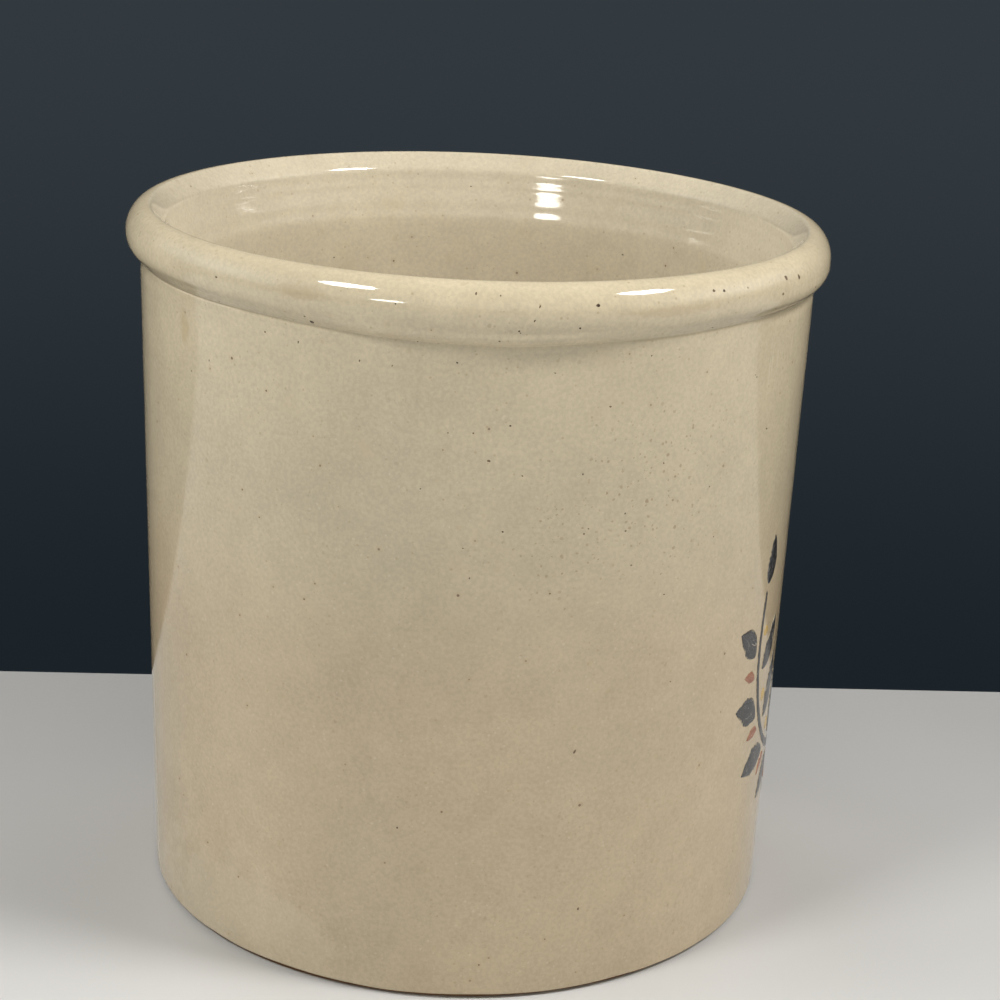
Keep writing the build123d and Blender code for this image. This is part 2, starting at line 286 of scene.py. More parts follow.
def ring_faces(rows, n, first=0, closed=True):
    """Quads between rows of n vertices each; closed also joins last to first."""
    faces = []
    pairs = [(k, k + 1) for k in range(rows - 1)] + ([(rows - 1, 0)] if closed else [])
    for k, m in pairs:
        a, b = first + k * n, first + m * n
        for j in range(n):
            i = (j + 1) % n
            faces.append((a + j, a + i, b + i, b + j))
    return faces


def grid_normals(x, y, z):
    """Unit normals of a closed-round grid, rows along the profile upwards."""
    p = np.stack([x, y, z], -1)
    along = np.gradient(p, axis=0)
    round_ = np.roll(p, -1, axis=1) - np.roll(p, 1, axis=1)
    n = np.cross(round_, along)
    return n / np.maximum(np.linalg.norm(n, axis=-1), 1e-12)[..., None]


def drift(a, seed, top=9, power=1.0):
    """A smooth curve round the pot, about -1 to 1, the same each run."""
    rng = np.random.RandomState(seed)
    total, weight = np.zeros_like(a), 0.0
    for n in range(2, top + 2):
        k = 1.0 / n**power
        total += k * np.cos(n * a + rng.uniform(0, 2 * math.pi))
        weight += k * k / 2
    return total / math.sqrt(weight) / 1.8


ROUND = 360
azimuths = np.linspace(0, 2 * math.pi, ROUND, endpoint=False)


def outer_gaps(r, z):
    g = np.interp(z, [0, 3, 8, 20, 138, 146, 150.5, 153.0, 157.5, 160, 166.3], [0.3, 0.5, 1.0, 1.35, 1.35, 1.0, 0.7, 0.3, 0.3, 0.42, 0.34])
    return g


def inner_gaps(r, z):
    g = np.interp(z, [0, 8.5, 21, 26, 138, 148, 164, 166.3], [0.9, 0.8, 0.8, 1.45, 1.45, 0.42, 0.36, 0.34])
    return np.where(z < 8.02, np.interp(r, [0, 4, 20, 60], [0.8, 1.8, 3.5, 2.2]), g)


out_rows = resample(outer_line, outer_gaps)
in_rows = resample(inner_line, inner_gaps)[:-1]  # the centre is a vertex of its own
seam = len(out_rows) - 1

# Visible surfaces as one continuous grid, so that the two glazes meet smoothly.
stop = glaze_stop_z - 0.12 + 0.22 * drift(azimuths, 11, 14, 0.8) + 0.07 * drift(azimuths, 12, 40, 0.3)
roll = []
for t in np.radians(np.linspace(0, 84, 7)):
    roll.append((-glaze_t + glaze_t * math.sin(t), glaze_t * (1 - math.cos(t))))
R, Z = [], []
for d, h in roll:
    z = stop + h
    R.append(wall_r(z) + d + 0.05 * math.sin(math.pi * (d / glaze_t + 1)))
    Z.append(z)
facing = shifted(out_rows, np.ones(len(out_rows))) - out_rows
leaner, fuller, filled, ledge, swell = (
    np.interp(out_rows[:, 1], *table) for table in (lean_under, full_under, fill_under, ledge_under, swell_under)
)
degrees_ = (np.degrees(azimuths) + 180) % 360 - 180
front = step(-30, -9, degrees_) * (1 - step(11, 32, degrees_))
rightish = step(30, 65, degrees_) * (1 - step(95, 140, degrees_))
swollen = step(-78, -60, degrees_) * (1 - step(-50, -30, degrees_))
soft_crease = step(-70, -44, degrees_) * (1 - step(46, 62, degrees_))
lift = np.interp(degrees_, *crease_shift)
lift = np.convolve(np.r_[lift[-6:], lift, lift[:6]], np.hanning(15)[1:-1] / np.hanning(15).sum(), "valid")
lift_at = step(150.2, 153.2, out_rows[:, 1]) * (1 - step(156.3, 159.6, out_rows[:, 1]))
for k, (r, z) in enumerate(np.vstack([out_rows, in_rows[1:]])):
    moved = (stop - glaze_stop_z) * (1 - step(1.55, 6.0, z)) * (r > 74.0)
    out_r = out_z = 0.0
    if k < len(out_rows):
        side = (1 - front) * (leaner[k] * (1 - rightish) + fuller[k] * rightish)
        side = side + ledge[k] * front + filled[k] * soft_crease + swell[k] * swollen
        out_r, out_z = facing[k][:, None] * side
        out_z = out_z + lift * lift_at[k]
    Z.append(z + moved + out_z)
    R.append(np.full(ROUND, r) + wall_slope * moved + out_r)
R, Z = np.array(R), np.array(Z)
A = np.broadcast_to(azimuths, R.shape)
X, Y, Z3 = warp(R, Z, A)
N = grid_normals(X, Y, Z3)
split = len(roll) + seam  # the row on the crown where the glazes meet


def under(points, count):
    """The interface with the clay, glaze_t beneath a visible profile."""
    inside = shifted(points, -glaze_t)
    d = np.r_[0, np.cumsum(np.linalg.norm(np.diff(inside, axis=0), axis=1))]
    at = np.linspace(0, d[-1], count)
    return np.stack([np.interp(at, d, inside[:, 0]), np.interp(at, d, inside[:, 1])], 1)


def map_round(me, rows_v, n, rows, cap=None):
    """A UV map named OFBake: azimuth along, profile across, in two bands."""
    layer = me.uv_layers.new(name="OFBake")
    loops = np.empty(len(me.loops), int)
    me.loops.foreach_get("vertex_index", loops)
    starts = np.empty(len(me.polygons), int)
    me.polygons.foreach_get("loop_start", starts)
    totals = np.empty(len(me.polygons), int)
    me.polygons.foreach_get("loop_total", totals)
    row = np.minimum(loops // n, rows - 1)
    col = loops % n
    u = (col / n + 0.125) % 1.0  # the seams are at -45 and 135 degrees
    v = np.asarray(rows_v)[row]
    face = np.repeat(np.arange(len(starts)), totals)
    if cap is not None:
        u = np.where(loops == cap, np.nan, u)
        v = np.where(loops == cap, rows_v[-1], v)
    low = np.full(len(starts), np.inf)
    np.minimum.at(low, face, np.where(np.isnan(u), np.inf, u))
    high = np.full(len(starts), -np.inf)
    np.maximum.at(high, face, np.where(np.isnan(u), -np.inf, u))
    wrap = high - low > 0.5
    u = np.where(wrap[face] & (u < 0.5), u + 1.0, u)
    # The band of a face comes from its middle.
    middle = np.zeros(len(starts))
    np.add.at(middle, face, np.nan_to_num(u))
    count = np.zeros(len(starts))
    np.add.at(count, face, ~np.isnan(u))
    middle = middle / count
    u = np.where(np.isnan(u), middle[face], u)
    band = (middle >= 0.5).astype(float)[face]
    out = np.stack([(u - 0.5 * band) * 2 * 0.98 + 0.01, (v * 0.48 + 0.01) + 0.5 * band], 1)
    layer.uv.foreach_set("vector", out.astype(np.float32).ravel())


def close_v(visible, hidden):
    """Where each row lies across the map: the visible side has most of it."""
    return np.r_[np.linspace(0.0, 0.90, visible), np.linspace(0.925, 0.995, hidden)]


# ------------------------------------------------------------ node helpers
class Tree:
    """Short names for making nodes."""

    def __init__(self, nt):
        self.nt = nt
        nt.nodes.clear()

    def put(self, node, key, value):
        socket = node.inputs[key]
        if isinstance(value, bpy.types.NodeSocket):
            self.nt.links.new(value, socket)
        elif value is not None:
            socket.default_value = value

    def add(self, kind, inputs=None, **props):
        node = self.nt.nodes.new(kind)
        for k, v in props.items():
            setattr(node, k, v)
        for k, v in (inputs or {}).items():
            self.put(node, k, v)
        return node

    def math(self, op, a, b=None, c=None, clamp=False):
        return self.add("ShaderNodeMath", {0: a, 1: b, 2: c}, operation=op, use_clamp=clamp).outputs[0]

    def vec(self, op, a, b=None, scale=None):
        node = self.add("ShaderNodeVectorMath", {0: a, 1: b}, operation=op)
        if scale is not None:
            self.put(node, "Scale", scale)
        return node.outputs[1] if op in ("DOT_PRODUCT", "LENGTH", "DISTANCE") else node.outputs[0]

    def ramp(self, x, low, high, a=0.0, b=1.0, kind="SMOOTHSTEP"):
        return self.add(
            "ShaderNodeMapRange", {0: x, 1: low, 2: high, 3: a, 4: b}, interpolation_type=kind
        ).outputs[0]

    def mix(self, factor, a, b, blend="MIX"):
        node = self.add("ShaderNodeMix", data_type="RGBA", blend_type=blend)
        node.clamp_factor = True
        self.put(node, 0, factor)
        self.put(node, 6, a)
        self.put(node, 7, b)
        return node.outputs[2]

    def noise(self, vector, size, detail=2.0, rough=0.5, shift=0.0, colour=False, kind="FBM"):
        """Noise whose blobs are about size across, in the vector's units."""
        moved = self.vec("ADD", vector, (shift, shift * 0.7 + 3.1, shift * 1.3))
        node = self.add(
            "ShaderNodeTexNoise",
            {"Vector": moved, "Scale": 1.0 / size, "Detail": detail, "Roughness": rough},
            noise_dimensions="3D",
            noise_type=kind,
        )
        return node.outputs[1 if colour else 0]

    def spots(self, vector, cell, r0, r1, share, shift=0.0):
        """Dots scattered in space. r0 to r1 is their radius; share of the cells have one."""
        moved = self.vec("ADD", vector, (shift, shift * 0.7 + 1.7, shift * 1.3))
        node = self.add(
            "ShaderNodeTexVoronoi",
            {"Vector": moved, "Scale": 1.0 / cell, "Randomness": 1.0},
            voronoi_dimensions="3D",
            feature="F1",
        )
        parts = self.add("ShaderNodeSeparateXYZ", {0: node.outputs["Color"]})
        size = self.ramp(parts.outputs[0], 0, 1, r0 / cell, r1 / cell, "LINEAR")
        there = self.math("LESS_THAN", parts.outputs[1], share)
        edge = self.math("DIVIDE", node.outputs["Distance"], size)
        dot = self.ramp(edge, 0.75, 1.15, 1.0, 0.0)
        return self.math("MULTIPLY", dot, there), parts.outputs[2]


def grey(v):
    return (v, v, v, 1.0)


def rgb(r, g, b):
    return (r, g, b, 1.0)


def material(name):
    mat = bpy.data.materials.new(name)
    mat.use_nodes = True
    return mat, Tree(mat.node_tree)


def finish_material(t, colour, rough, normal, spec=0.5, ior=1.5, coat=0.0, coat_rough=0.03):
    shader = t.add(
        "ShaderNodeBsdfPrincipled",
        {"Base Color": colour, "Roughness": rough, "Normal": normal},
    )
    shader.inputs["IOR"].default_value = ior
    shader.inputs["Specular IOR Level"].default_value = spec
    shader.inputs["Coat Weight"].default_value = coat
    shader.inputs["Coat Roughness"].default_value = coat_rough
    out = t.add("ShaderNodeOutputMaterial")
    t.nt.links.new(shader.outputs[0], out.inputs["Surface"])
    return shader


# --------------------------------------------------------------- materials
BUFF = (0.640, 0.548, 0.385)


def glaze_colour(t, p, BUFF=BUFF, outside=True):
    """The buff glaze: slow drift, mottling, pale and dark flecks, iron specks; outside also painted light and shade by
    height, and the marks below, some of which are painted shade and light.
    """
    xyz = t.add("ShaderNodeSeparateXYZ", {0: p})
    high = xyz.outputs[2]
    low = (0.945, 0.885, 0.845) if outside else (1.0, 0.99, 0.98)
    base = t.mix(
        t.math("MULTIPLY", t.ramp(high, 118, 70), t.ramp(t.noise(p, 42, 2, 0.5, 7), 0.25, 0.7, 0.70, 1.0)),
        rgb(*BUFF),
        rgb(BUFF[0] * low[0], BUFF[1] * low[1], BUFF[2] * low[2]),
    )
    if outside:
        # Painted light and shade by height: the roll is painted paler, as if lit from above, and the wall below it is
        # painted darker, most of all below about 108 mm.
        painted_light_by_height = t.math("MULTIPLY", t.ramp(high, 108, 153, 0.87, 0.985), t.ramp(high, 156, 162, 1.0, 1.065))
        base = t.mix(
            1.0, base, t.add("ShaderNodeCombineXYZ", {0: painted_light_by_height, 1: painted_light_by_height, 2: painted_light_by_height}).outputs[0], "MULTIPLY"
        )
    slow = t.ramp(t.noise(p, 38, 3, 0.55), 0.25, 0.75, 0.955, 1.04)
    cloud = t.ramp(t.noise(p, 7.5, 4, 0.6, 19), 0.25, 0.75, 0.962, 1.038)
    grain = t.ramp(t.noise(p, 0.9, 3, 0.65, 31), 0.28, 0.72, 0.935, 1.065)
    tone = t.math("MULTIPLY", t.math("MULTIPLY", slow, cloud), grain)
    base = t.mix(1.0, base, t.add("ShaderNodeCombineXYZ", {0: tone, 1: tone, 2: tone}).outputs[0], "MULTIPLY")
    # Warm, thin places where the clay shows through a little.
    warm = t.math("MULTIPLY", t.ramp(t.noise(p, 14, 4, 0.6, 53), 0.56, 0.78), 0.35)
    base = t.mix(warm, base, rgb(0.62, 0.50, 0.33))
    pale, _ = t.spots(p, 1.9, 0.16, 0.36, 0.60, 5.0)
    base = t.mix(t.math("MULTIPLY", pale, 0.17), base, rgb(0.80, 0.73, 0.58))
    tan, _ = t.spots(p, 2.0, 0.14, 0.32, 0.60, 11.0)
    base = t.mix(t.math("MULTIPLY", tan, 0.42), base, rgb(0.42, 0.30, 0.17))
    if outside:
        base = glaze_marks_and_painted_light(t, p, base)
    halo, _ = t.spots(p, 5.6, 0.55, 0.95, 0.75, 23.0)
    base = t.mix(t.math("MULTIPLY", halo, 0.16), base, rgb(0.50, 0.36, 0.20))
    iron, pick = t.spots(p, 5.6, 0.20, 0.36, 0.75, 23.0)
    depth = t.ramp(pick, 0, 1, 0.35, 0.85, "LINEAR")
    return t.mix(t.math("MULTIPLY", iron, depth), base, rgb(0.13, 0.075, 0.04))


def patch(t, p, az, z, r, wide, tall, ragged=0.0):
    """A soft-edged patch of the wall: 1 in the middle, 0 at wide by tall mm."""
    a = math.radians(az)
    middle = (r * math.sin(a), -r * math.cos(a), z)
    away = t.vec("MULTIPLY", t.vec("SUBTRACT", p, middle), (1.0 / wide, 1.0 / wide, 1.0 / tall))
    reach = t.vec("LENGTH", away)
    if ragged:
        reach = t.math("ADD", reach, t.ramp(t.noise(p, ragged, 3, 0.6, az), 0.2, 0.8, -0.35, 0.35))
    return t.ramp(reach, 1.0, 0.35)


def glaze_marks_and_painted_light(t, p, base):
    """What the firing left in places: pits, tan mottling and runs; also a dark line in the crease under the roll, brown
    at the right and painted shade at the left, and a patch of painted light low on the left.
    """
    bent = t.vec("ADD", p, t.vec("SCALE", t.noise(p, 0.8, 2, 0.6, 15, colour=True), scale=0.7))
    small, _ = t.spots(bent, 1.5, 0.15, 0.32, 0.88, 41.0)
    large, pick = t.spots(bent, 2.5, 0.24, 0.50, 0.85, 47.0)
    pits = t.math("MAXIMUM", t.math("MULTIPLY", small, 0.75), t.math("MULTIPLY", large, t.ramp(pick, 0, 1, 0.5, 1.0)))
    here = t.math("MAXIMUM", patch(t, p, 31, 119, 78.6, 24, 29, 5.0), patch(t, p, 14, 108, 78.3, 14, 18, 4.0))
    here = t.math("MAXIMUM", here, t.math("MULTIPLY", t.ramp(t.noise(p, 16, 3, 0.6, 37), 0.52, 0.66), 0.45))
    base = t.mix(t.math("MULTIPLY", t.math("MULTIPLY", pits, here), 0.64), base, rgb(0.30, 0.205, 0.115))
    blush = t.math("MAXIMUM", patch(t, p, -26, 161.4, 81.6, 8, 2.4, 1.3), patch(t, p, 30, 160.2, 82.2, 16, 1.3, 2.0))
    base = t.mix(t.math("MULTIPLY", blush, 0.34), base, rgb(0.50, 0.36, 0.22))
    # Painted light: a pale patch low on the left wall that lightens the shade near the foot.
    pooling_and_painted_light = patch(t, p, -44, 8, 76.6, 42, 20, 7.0)
    base = t.mix(t.math("MULTIPLY", pooling_and_painted_light, 0.11), base, rgb(0.90, 0.84, 0.68))
    smear = t.math("MAXIMUM", patch(t, p, -53, 146.6, 79.1, 2.2, 5.2, 1.6), patch(t, p, -53.5, 144.0, 79.1, 1.1, 1.6, 0.8))
    base = t.mix(t.math("MULTIPLY", smear, 0.38), base, rgb(0.50, 0.37, 0.20))
    # Pale runs under the rim at the right, thin and upright.
    xyz = t.add("ShaderNodeSeparateXYZ", {0: p})
    x, y, z = xyz.outputs
    around = t.math("MULTIPLY", t.math("ARCTAN2", x, t.math("MULTIPLY", y, -1.0)), 80.0)
    lane = t.add(
        "ShaderNodeCombineXYZ", {0: t.math("MULTIPLY", around, 1.0), 1: t.math("MULTIPLY", z, 0.035), 2: 0.0}
    ).outputs[0]
    runs = t.math("MULTIPLY", t.ramp(t.noise(lane, 0.8, 1, 0.5, 6), 0.66, 0.74), patch(t, p, 61, 143, 79.2, 19, 15, 6.0))
    base = t.mix(t.math("MULTIPLY", runs, 0.40), base, rgb(0.80, 0.74, 0.60))
    # The crease under the roll is darkened at the sides: a brown line at the right, and at the left a greyer line of
    # painted shade, which also climbs a little.
    level = t.math("ADD", t.ramp(around, -66, -92, 155.25, 154.75), t.math("MULTIPLY", t.noise(p, 7, 2, 0.5, 4), 0.2))
    level = t.math("SUBTRACT", level, t.ramp(around, -20, 20, 0.0, 0.40))
    line = t.ramp(t.math("ABSOLUTE", t.math("SUBTRACT", z, level)), 0.40, 0.08)
    right_ = t.math("MULTIPLY", t.ramp(around, 64, 76), t.ramp(around, 150, 128))
    painted_shade_left = t.math("MULTIPLY", t.ramp(around, -62, -80), t.ramp(around, -150, -128))
    base = t.mix(t.math("MULTIPLY", line, t.math("MULTIPLY", right_, 0.36)), base, rgb(0.20, 0.13, 0.075))
    # Painted shade: a grey line in the crease at the left.
    return t.mix(t.math("MULTIPLY", line, t.math("MULTIPLY", painted_shade_left, 0.12)), base, rgb(0.20, 0.17, 0.13))


def glaze_bump(t, p, strength=1.0):
    """Orange peel: broad soft swells with a fine ripple on them."""
    broad = t.noise(p, 6.0, 2, 0.45, 3)
    mid = t.noise(p, 1.7, 2, 0.5, 71)
    fine = t.noise(p, 0.55, 2, 0.5, 91)
    first = t.add(
        "ShaderNodeBump", {"Strength": strength, "Distance": 0.0000150, "Height": broad}
    ).outputs[0]
    second = t.add(
        "ShaderNodeBump", {"Strength": strength, "Distance": 0.0000080, "Height": mid, "Normal": first}
    ).outputs[0]
    return t.add(
        "ShaderNodeBump", {"Strength": strength, "Distance": 0.0000036, "Height": fine, "Normal": second}
    ).outputs[0]


def in_mm(t):
    """The place on the piece, in millimetres."""
    return t.vec("SCALE", t.add("ShaderNodeTexCoord").outputs["Object"], scale=1000.0)


def glaze(name, buff=BUFF, outside=True):
    mat, t = material(name)
    p = in_mm(t)
    colour = glaze_colour(t, p, buff, outside)
    rough = t.ramp(t.noise(p, 5.0, 3, 0.6, 41), 0.3, 0.7, 0.055, 0.095)
    finish_material(t, colour, rough, glaze_bump(t, p), ior=1.52)
    return mat


def clay(name):
    """Bare fired clay with the rings that the trimming tool leaves."""
    mat, t = material(name)
    p = in_mm(t)
    xyz = t.add("ShaderNodeSeparateXYZ", {0: p})
    flat = t.add("ShaderNodeCombineXYZ", {0: xyz.outputs[0], 1: xyz.outputs[1]}).outputs[0]
    radius = t.vec("LENGTH", flat)
    wobble = t.math("MULTIPLY", t.noise(p, 30, 2, 0.5, 3), 1.6)
    rings = t.add(
        "ShaderNodeTexNoise",
        {"W": t.math("ADD", radius, wobble), "Scale": 0.9, "Detail": 3.0, "Roughness": 0.6},
        noise_dimensions="1D",
    ).outputs[0]
    sand = t.noise(p, 0.7, 3, 0.65, 13)
    tone = t.math(
        "MULTIPLY", t.ramp(t.noise(p, 22, 3, 0.55, 5), 0.25, 0.75, 0.86, 1.12), t.ramp(sand, 0.25, 0.75, 0.88, 1.1)
    )
    tone = t.math("MULTIPLY", tone, t.ramp(rings, 0.3, 0.7, 0.93, 1.05))
    colour = t.mix(
        1.0, rgb(0.47, 0.335, 0.215), t.add("ShaderNodeCombineXYZ", {0: tone, 1: tone, 2: tone}).outputs[0], "MULTIPLY"
    )
    toasted = t.math("MULTIPLY", t.ramp(xyz.outputs[2], 0.02, 0.5), t.ramp(radius, 70.0, 74.5))
    colour = t.mix(t.math("MULTIPLY", toasted, 0.94), colour, rgb(0.100, 0.041, 0.011))
    worn = t.math("MULTIPLY", t.ramp(xyz.outputs[2], 0.25, 0.05), t.ramp(t.noise(p, 6, 3, 0.6, 9), 0.4, 0.6))
    colour = t.mix(t.math("MULTIPLY", worn, 0.35), colour, rgb(0.33, 0.25, 0.18))
    speck, _ = t.spots(p, 3.4, 0.2, 0.5, 0.6, 17.0)
    colour = t.mix(t.math("MULTIPLY", speck, 0.8), colour, rgb(0.07, 0.045, 0.03))
    rough = t.ramp(sand, 0.2, 0.8, 0.72, 0.92)
    groove = t.add("ShaderNodeBump", {"Strength": 0.7, "Distance": 0.00008, "Height": rings}).outputs[0]
    normal = t.add("ShaderNodeBump", {"Strength": 0.6, "Distance": 0.00006, "Height": sand, "Normal": groove}).outputs[0]
    finish_material(t, colour, rough, normal, spec=0.22)
    return mat


def enamel(name, dark, light, warm, thin, rough_low, rough_high, scratch):
    """Brushed colour under the gloss: streaks along the stroke, wear and scratches.

    The brush attribute holds the way along the stroke in mm, the place across
    it from -1 to 1, and a number that differs between strokes."""
    mat, t = material(name)
    p = in_mm(t)
    brush = t.add("ShaderNodeAttribute", attribute_name="brush", attribute_type="GEOMETRY").outputs["Vector"]
    part = t.add("ShaderNodeSeparateXYZ", {0: brush})
    along, across, number = part.outputs
    lane = t.add(
        "ShaderNodeCombineXYZ",
        {0: t.math("MULTIPLY", along, 0.16), 1: t.math("MULTIPLY", across, 3.6), 2: t.math("MULTIPLY", number, 37.0)},
    ).outputs[0]
    hairs = t.noise(lane, 0.55, 3, 0.6, 2)
    pooling_and_painted_light = t.noise(p, 3.2, 3, 0.55, 29)
    colour = t.mix(t.ramp(hairs, 0.33, 0.68), rgb(*dark), rgb(*light))
    colour = t.mix(t.math("MULTIPLY", t.ramp(pooling_and_painted_light, 0.5, 0.72), 0.6), colour, rgb(*warm))
    # The colour is thin where the brush lifted and along the stroke's edges.
    edge = t.math("ABSOLUTE", across)
    ragged = t.math("ADD", edge, t.ramp(t.noise(p, 1.1, 3, 0.6, 61), 0.2, 0.8, -0.16, 0.16))
    lift = t.math("MULTIPLY", t.ramp(ragged, 0.86, 1.02), 0.65)
    dry = t.math("MULTIPLY", t.ramp(t.noise(lane, 0.22, 2, 0.6, 8), 0.62, 0.74), t.ramp(pooling_and_painted_light, 0.52, 0.62, 0.0, thin))
    colour = t.mix(t.math("MAXIMUM", lift, dry), colour, rgb(BUFF[0] * 0.86, BUFF[1] * 0.84, BUFF[2] * 0.8))
    if scratch:
        bent = t.vec("ADD", p, t.vec("SCALE", t.noise(p, 7, 1, 0.5, 77, colour=True), scale=5.0))
        cracks = t.add(
            "ShaderNodeTexVoronoi", {"Vector": bent, "Scale": 0.17, "Randomness": 1.0}, feature="DISTANCE_TO_EDGE"
        ).outputs["Distance"]
        line = t.ramp(cracks, 0.006, 0.016, 1.0, 0.0)
        some = t.ramp(t.noise(p, 4.5, 2, 0.6, 83), 0.5, 0.6)
        chips, _ = t.spots(p, 1.5, 0.10, 0.26, 0.35, 3.0)
        pale = t.math("MAXIMUM", t.math("MULTIPLY", line, some), t.math("MULTIPLY", chips, 0.8))
        colour = t.mix(t.math("MULTIPLY", pale, scratch), colour, rgb(0.52, 0.47, 0.38))
    rough = t.ramp(hairs, 0.3, 0.7, rough_low, rough_high)
    ridges = t.add("ShaderNodeBump", {"Strength": 0.5, "Distance": 0.00002, "Height": hairs}).outputs[0]
    normal = t.add(
        "ShaderNodeBump", {"Strength": 0.6, "Distance": 0.000012, "Height": t.noise(p, 0.9, 2, 0.5, 91), "Normal": ridges}
    ).outputs[0]
    finish_material(t, colour, rough, normal)
    return mat


def iron(name):
    """Burnt iron: dark brown, a little glossy."""
    mat, t = material(name)
    p = in_mm(t)
    n = t.noise(p, 0.35, 2, 0.6, 4)
    colour = t.mix(t.ramp(n, 0.35, 0.65), rgb(0.030, 0.018, 0.012), rgb(0.105, 0.058, 0.030))
    colour = t.mix(t.math("MULTIPLY", t.ramp(t.noise(p, 9, 1, 0.5, 12), 0.44, 0.54), 0.8), colour, rgb(0.190, 0.125, 0.070))
    rough = t.ramp(n, 0.3, 0.7, 0.18, 0.34)
    normal = t.add("ShaderNodeBump", {"Strength": 0.6, "Distance": 0.00003, "Height": n}).outputs[0]
    finish_material(t, colour, rough, normal)
    return mat


glaze_mat = glaze("buff_glaze")
liner_mat = glaze("buff_liner_glaze", (0.655, 0.577, 0.435), False)
clay_mat = clay("bare_stoneware")
charcoal_mat = enamel(
    "charcoal_brushwork", (0.022, 0.023, 0.025), (0.060, 0.061, 0.063), (0.045, 0.038, 0.032), 0.5, 0.16, 0.30, 0.75
)
rust_mat = enamel(
    "rust_brushwork", (0.25, 0.085, 0.045), (0.42, 0.17, 0.085), (0.16, 0.055, 0.035), 0.7, 0.16, 0.28, 0.4
)
ochre_mat = enamel(
    "ochre_brushwork", (0.52, 0.33, 0.085), (0.66, 0.47, 0.17), (0.42, 0.20, 0.07), 0.8, 0.14, 0.26, 0.35
)
iron_mat = iron("burnt_iron")

# ------------------------------------------------------------------- glazes
flat_n = lambda g: g.reshape(-1, g.shape[-1])


def shell(name, rows, hidden, mat, cap=False):
    """The vertices and normals of a closed coat: a visible grid of rows and a hidden profile beneath it."""
    lo, hi = rows
    hx, hy, hz = warp(
        np.repeat(hidden[:, :1], ROUND, 1), np.repeat(hidden[:, 1:], ROUND, 1), np.broadcast_to(azimuths, (len(hidden), ROUND))
    )
    verts = np.vstack(
        [
            np.stack([X[lo:hi], Y[lo:hi], Z3[lo:hi]], -1).reshape(-1, 3),
            np.stack([hx, hy, hz], -1).reshape(-1, 3),
        ]
    )
    normals = np.vstack([flat_n(N[lo:hi]), flat_n(-grid_normals(hx[::-1], hy[::-1], hz[::-1])[::-1])])
    return verts, normals


# Outer coat: hidden side from the crown back down to the foot.
hid = under(np.vstack([out_rows[:1] - [0, 0.2], out_rows]), 46)[::-1]
hid[0] = (bead_c, height - glaze_t)
visible = split + 1
verts, normals = shell("outer", (0, visible), hid, glaze_mat)
faces = ring_faces(visible + len(hid), ROUND)
outer = mesh_object("crock_outer_glaze", verts, faces, normals, glaze_mat)
map_round(outer.data, close_v(visible, len(hid)), ROUND, visible + len(hid))

# Liner coat: from the crown down inside to the middle of the floor.
total = len(X)
visible = total - split
hid = under(np.vstack([in_rows, [[0.0, floor_z]]]), 44)[::-1][1:]
hid[-1] = (bead_c, height - glaze_t)
verts, normals = shell("liner", (split, total), hid, liner_mat)
top_centre, low_centre = len(verts), len(verts) + 1
cx, cy, cz = warp(np.zeros(1), np.full(1, floor_z), np.zeros(1))
verts = np.vstack([verts, [[0, 0, cz[0]], [0, 0, cz[0] - glaze_t]]])
normals = np.vstack([normals, [[0, 0, 1], [0, 0, -1]]])
n = ROUND
faces = ring_faces(visible, n, 0, False) + ring_faces(len(hid), n, visible * n, False)
last = (visible - 1) * n
firsth = visible * n
endh = (visible + len(hid) - 1) * n
for j in range(n):
    i = (j + 1) % n
    faces.append((last + j, last + i, top_centre))
    faces.append((low_centre, firsth + i, firsth + j))
    faces.append((endh + j, endh + i, i, j))
liner = mesh_object("crock_liner_glaze", verts, faces, normals, liner_mat)

# ---------------------------------------------------------------- clay body
clay_out = shifted(out_rows, -(glaze_t + 0.02))
clay_in = shifted(in_rows, -(glaze_t + 0.02))
clay_out = resample(clay_out, lambda r, z: np.interp(z, [0, 150, 152, 167], [2.2, 2.2, 0.9, 0.7]))
clay_in = resample(clay_in, lambda r, z: np.where(z < 8, 4.0, np.interp(z, [0, 21, 148, 167], [1.5, 2.2, 2.2, 0.8])))
clay_in[0] = clay_out[-1]
heel = (base_r - glaze_t + wall_slope * 1.5, 1.55)
foot_wall = rounded(heel, (base_r - glaze_t, 0.0), (foot_inner_r, 0.0), foot_round, 10)
recess_round = rounded((foot_inner_r, 0.0), (foot_inner_r, foot_recess), (0.0, foot_recess), recess_fillet, 8)
# The recess has the faint rings of the trimming tool.
rr = np.linspace(recess_round[-1][0], 2.0, 84)[1:]
ringed = foot_recess + 0.05 * np.sin(rr * 1.9) + 0.035 * np.sin(rr * 0.83 + 1.0) + 0.02 * np.sin(rr * 3.7 + 0.4)
ringed += 0.25 * np.exp(-((rr / 6.0) ** 2)) * -1
under_line = np.vstack(
    [
        np.stack([rr, ringed], 1)[::-1],
        recess_round[::-1],
        [[foot_inner_r, 1.3], [foot_inner_r, foot_inner_chamfer + 0.08], [foot_inner_r + 0.12, foot_inner_chamfer - 0.2]],
        [[foot_inner_r + foot_inner_chamfer - 0.15, 0.10], [foot_inner_r + foot_inner_chamfer + 0.15, 0.0]],
        [[69.5, 0.0], [72.0, 0.0], [73.8, 0.0]],
        foot_wall[::-1],
    ]
)
profile = clean(np.vstack([under_line, clay_out[1:], clay_in[1:]]), 0.02)
CLAY_ROUND = 240
ca = np.linspace(0, 2 * math.pi, CLAY_ROUND, endpoint=False)
px, py, pz = warp(np.repeat(profile[:, :1], CLAY_ROUND, 1), np.repeat(profile[:, 1:], CLAY_ROUND, 1), np.broadcast_to(ca, (len(profile), CLAY_ROUND)))
pz = np.maximum(pz, 0.0)
verts = np.vstack([np.stack([px, py, pz], -1).reshape(-1, 3), [[0, 0, foot_recess - 0.25], [0, 0, clay_in[-1][1]]]])
faces = ring_faces(len(profile), CLAY_ROUND, 0, False)
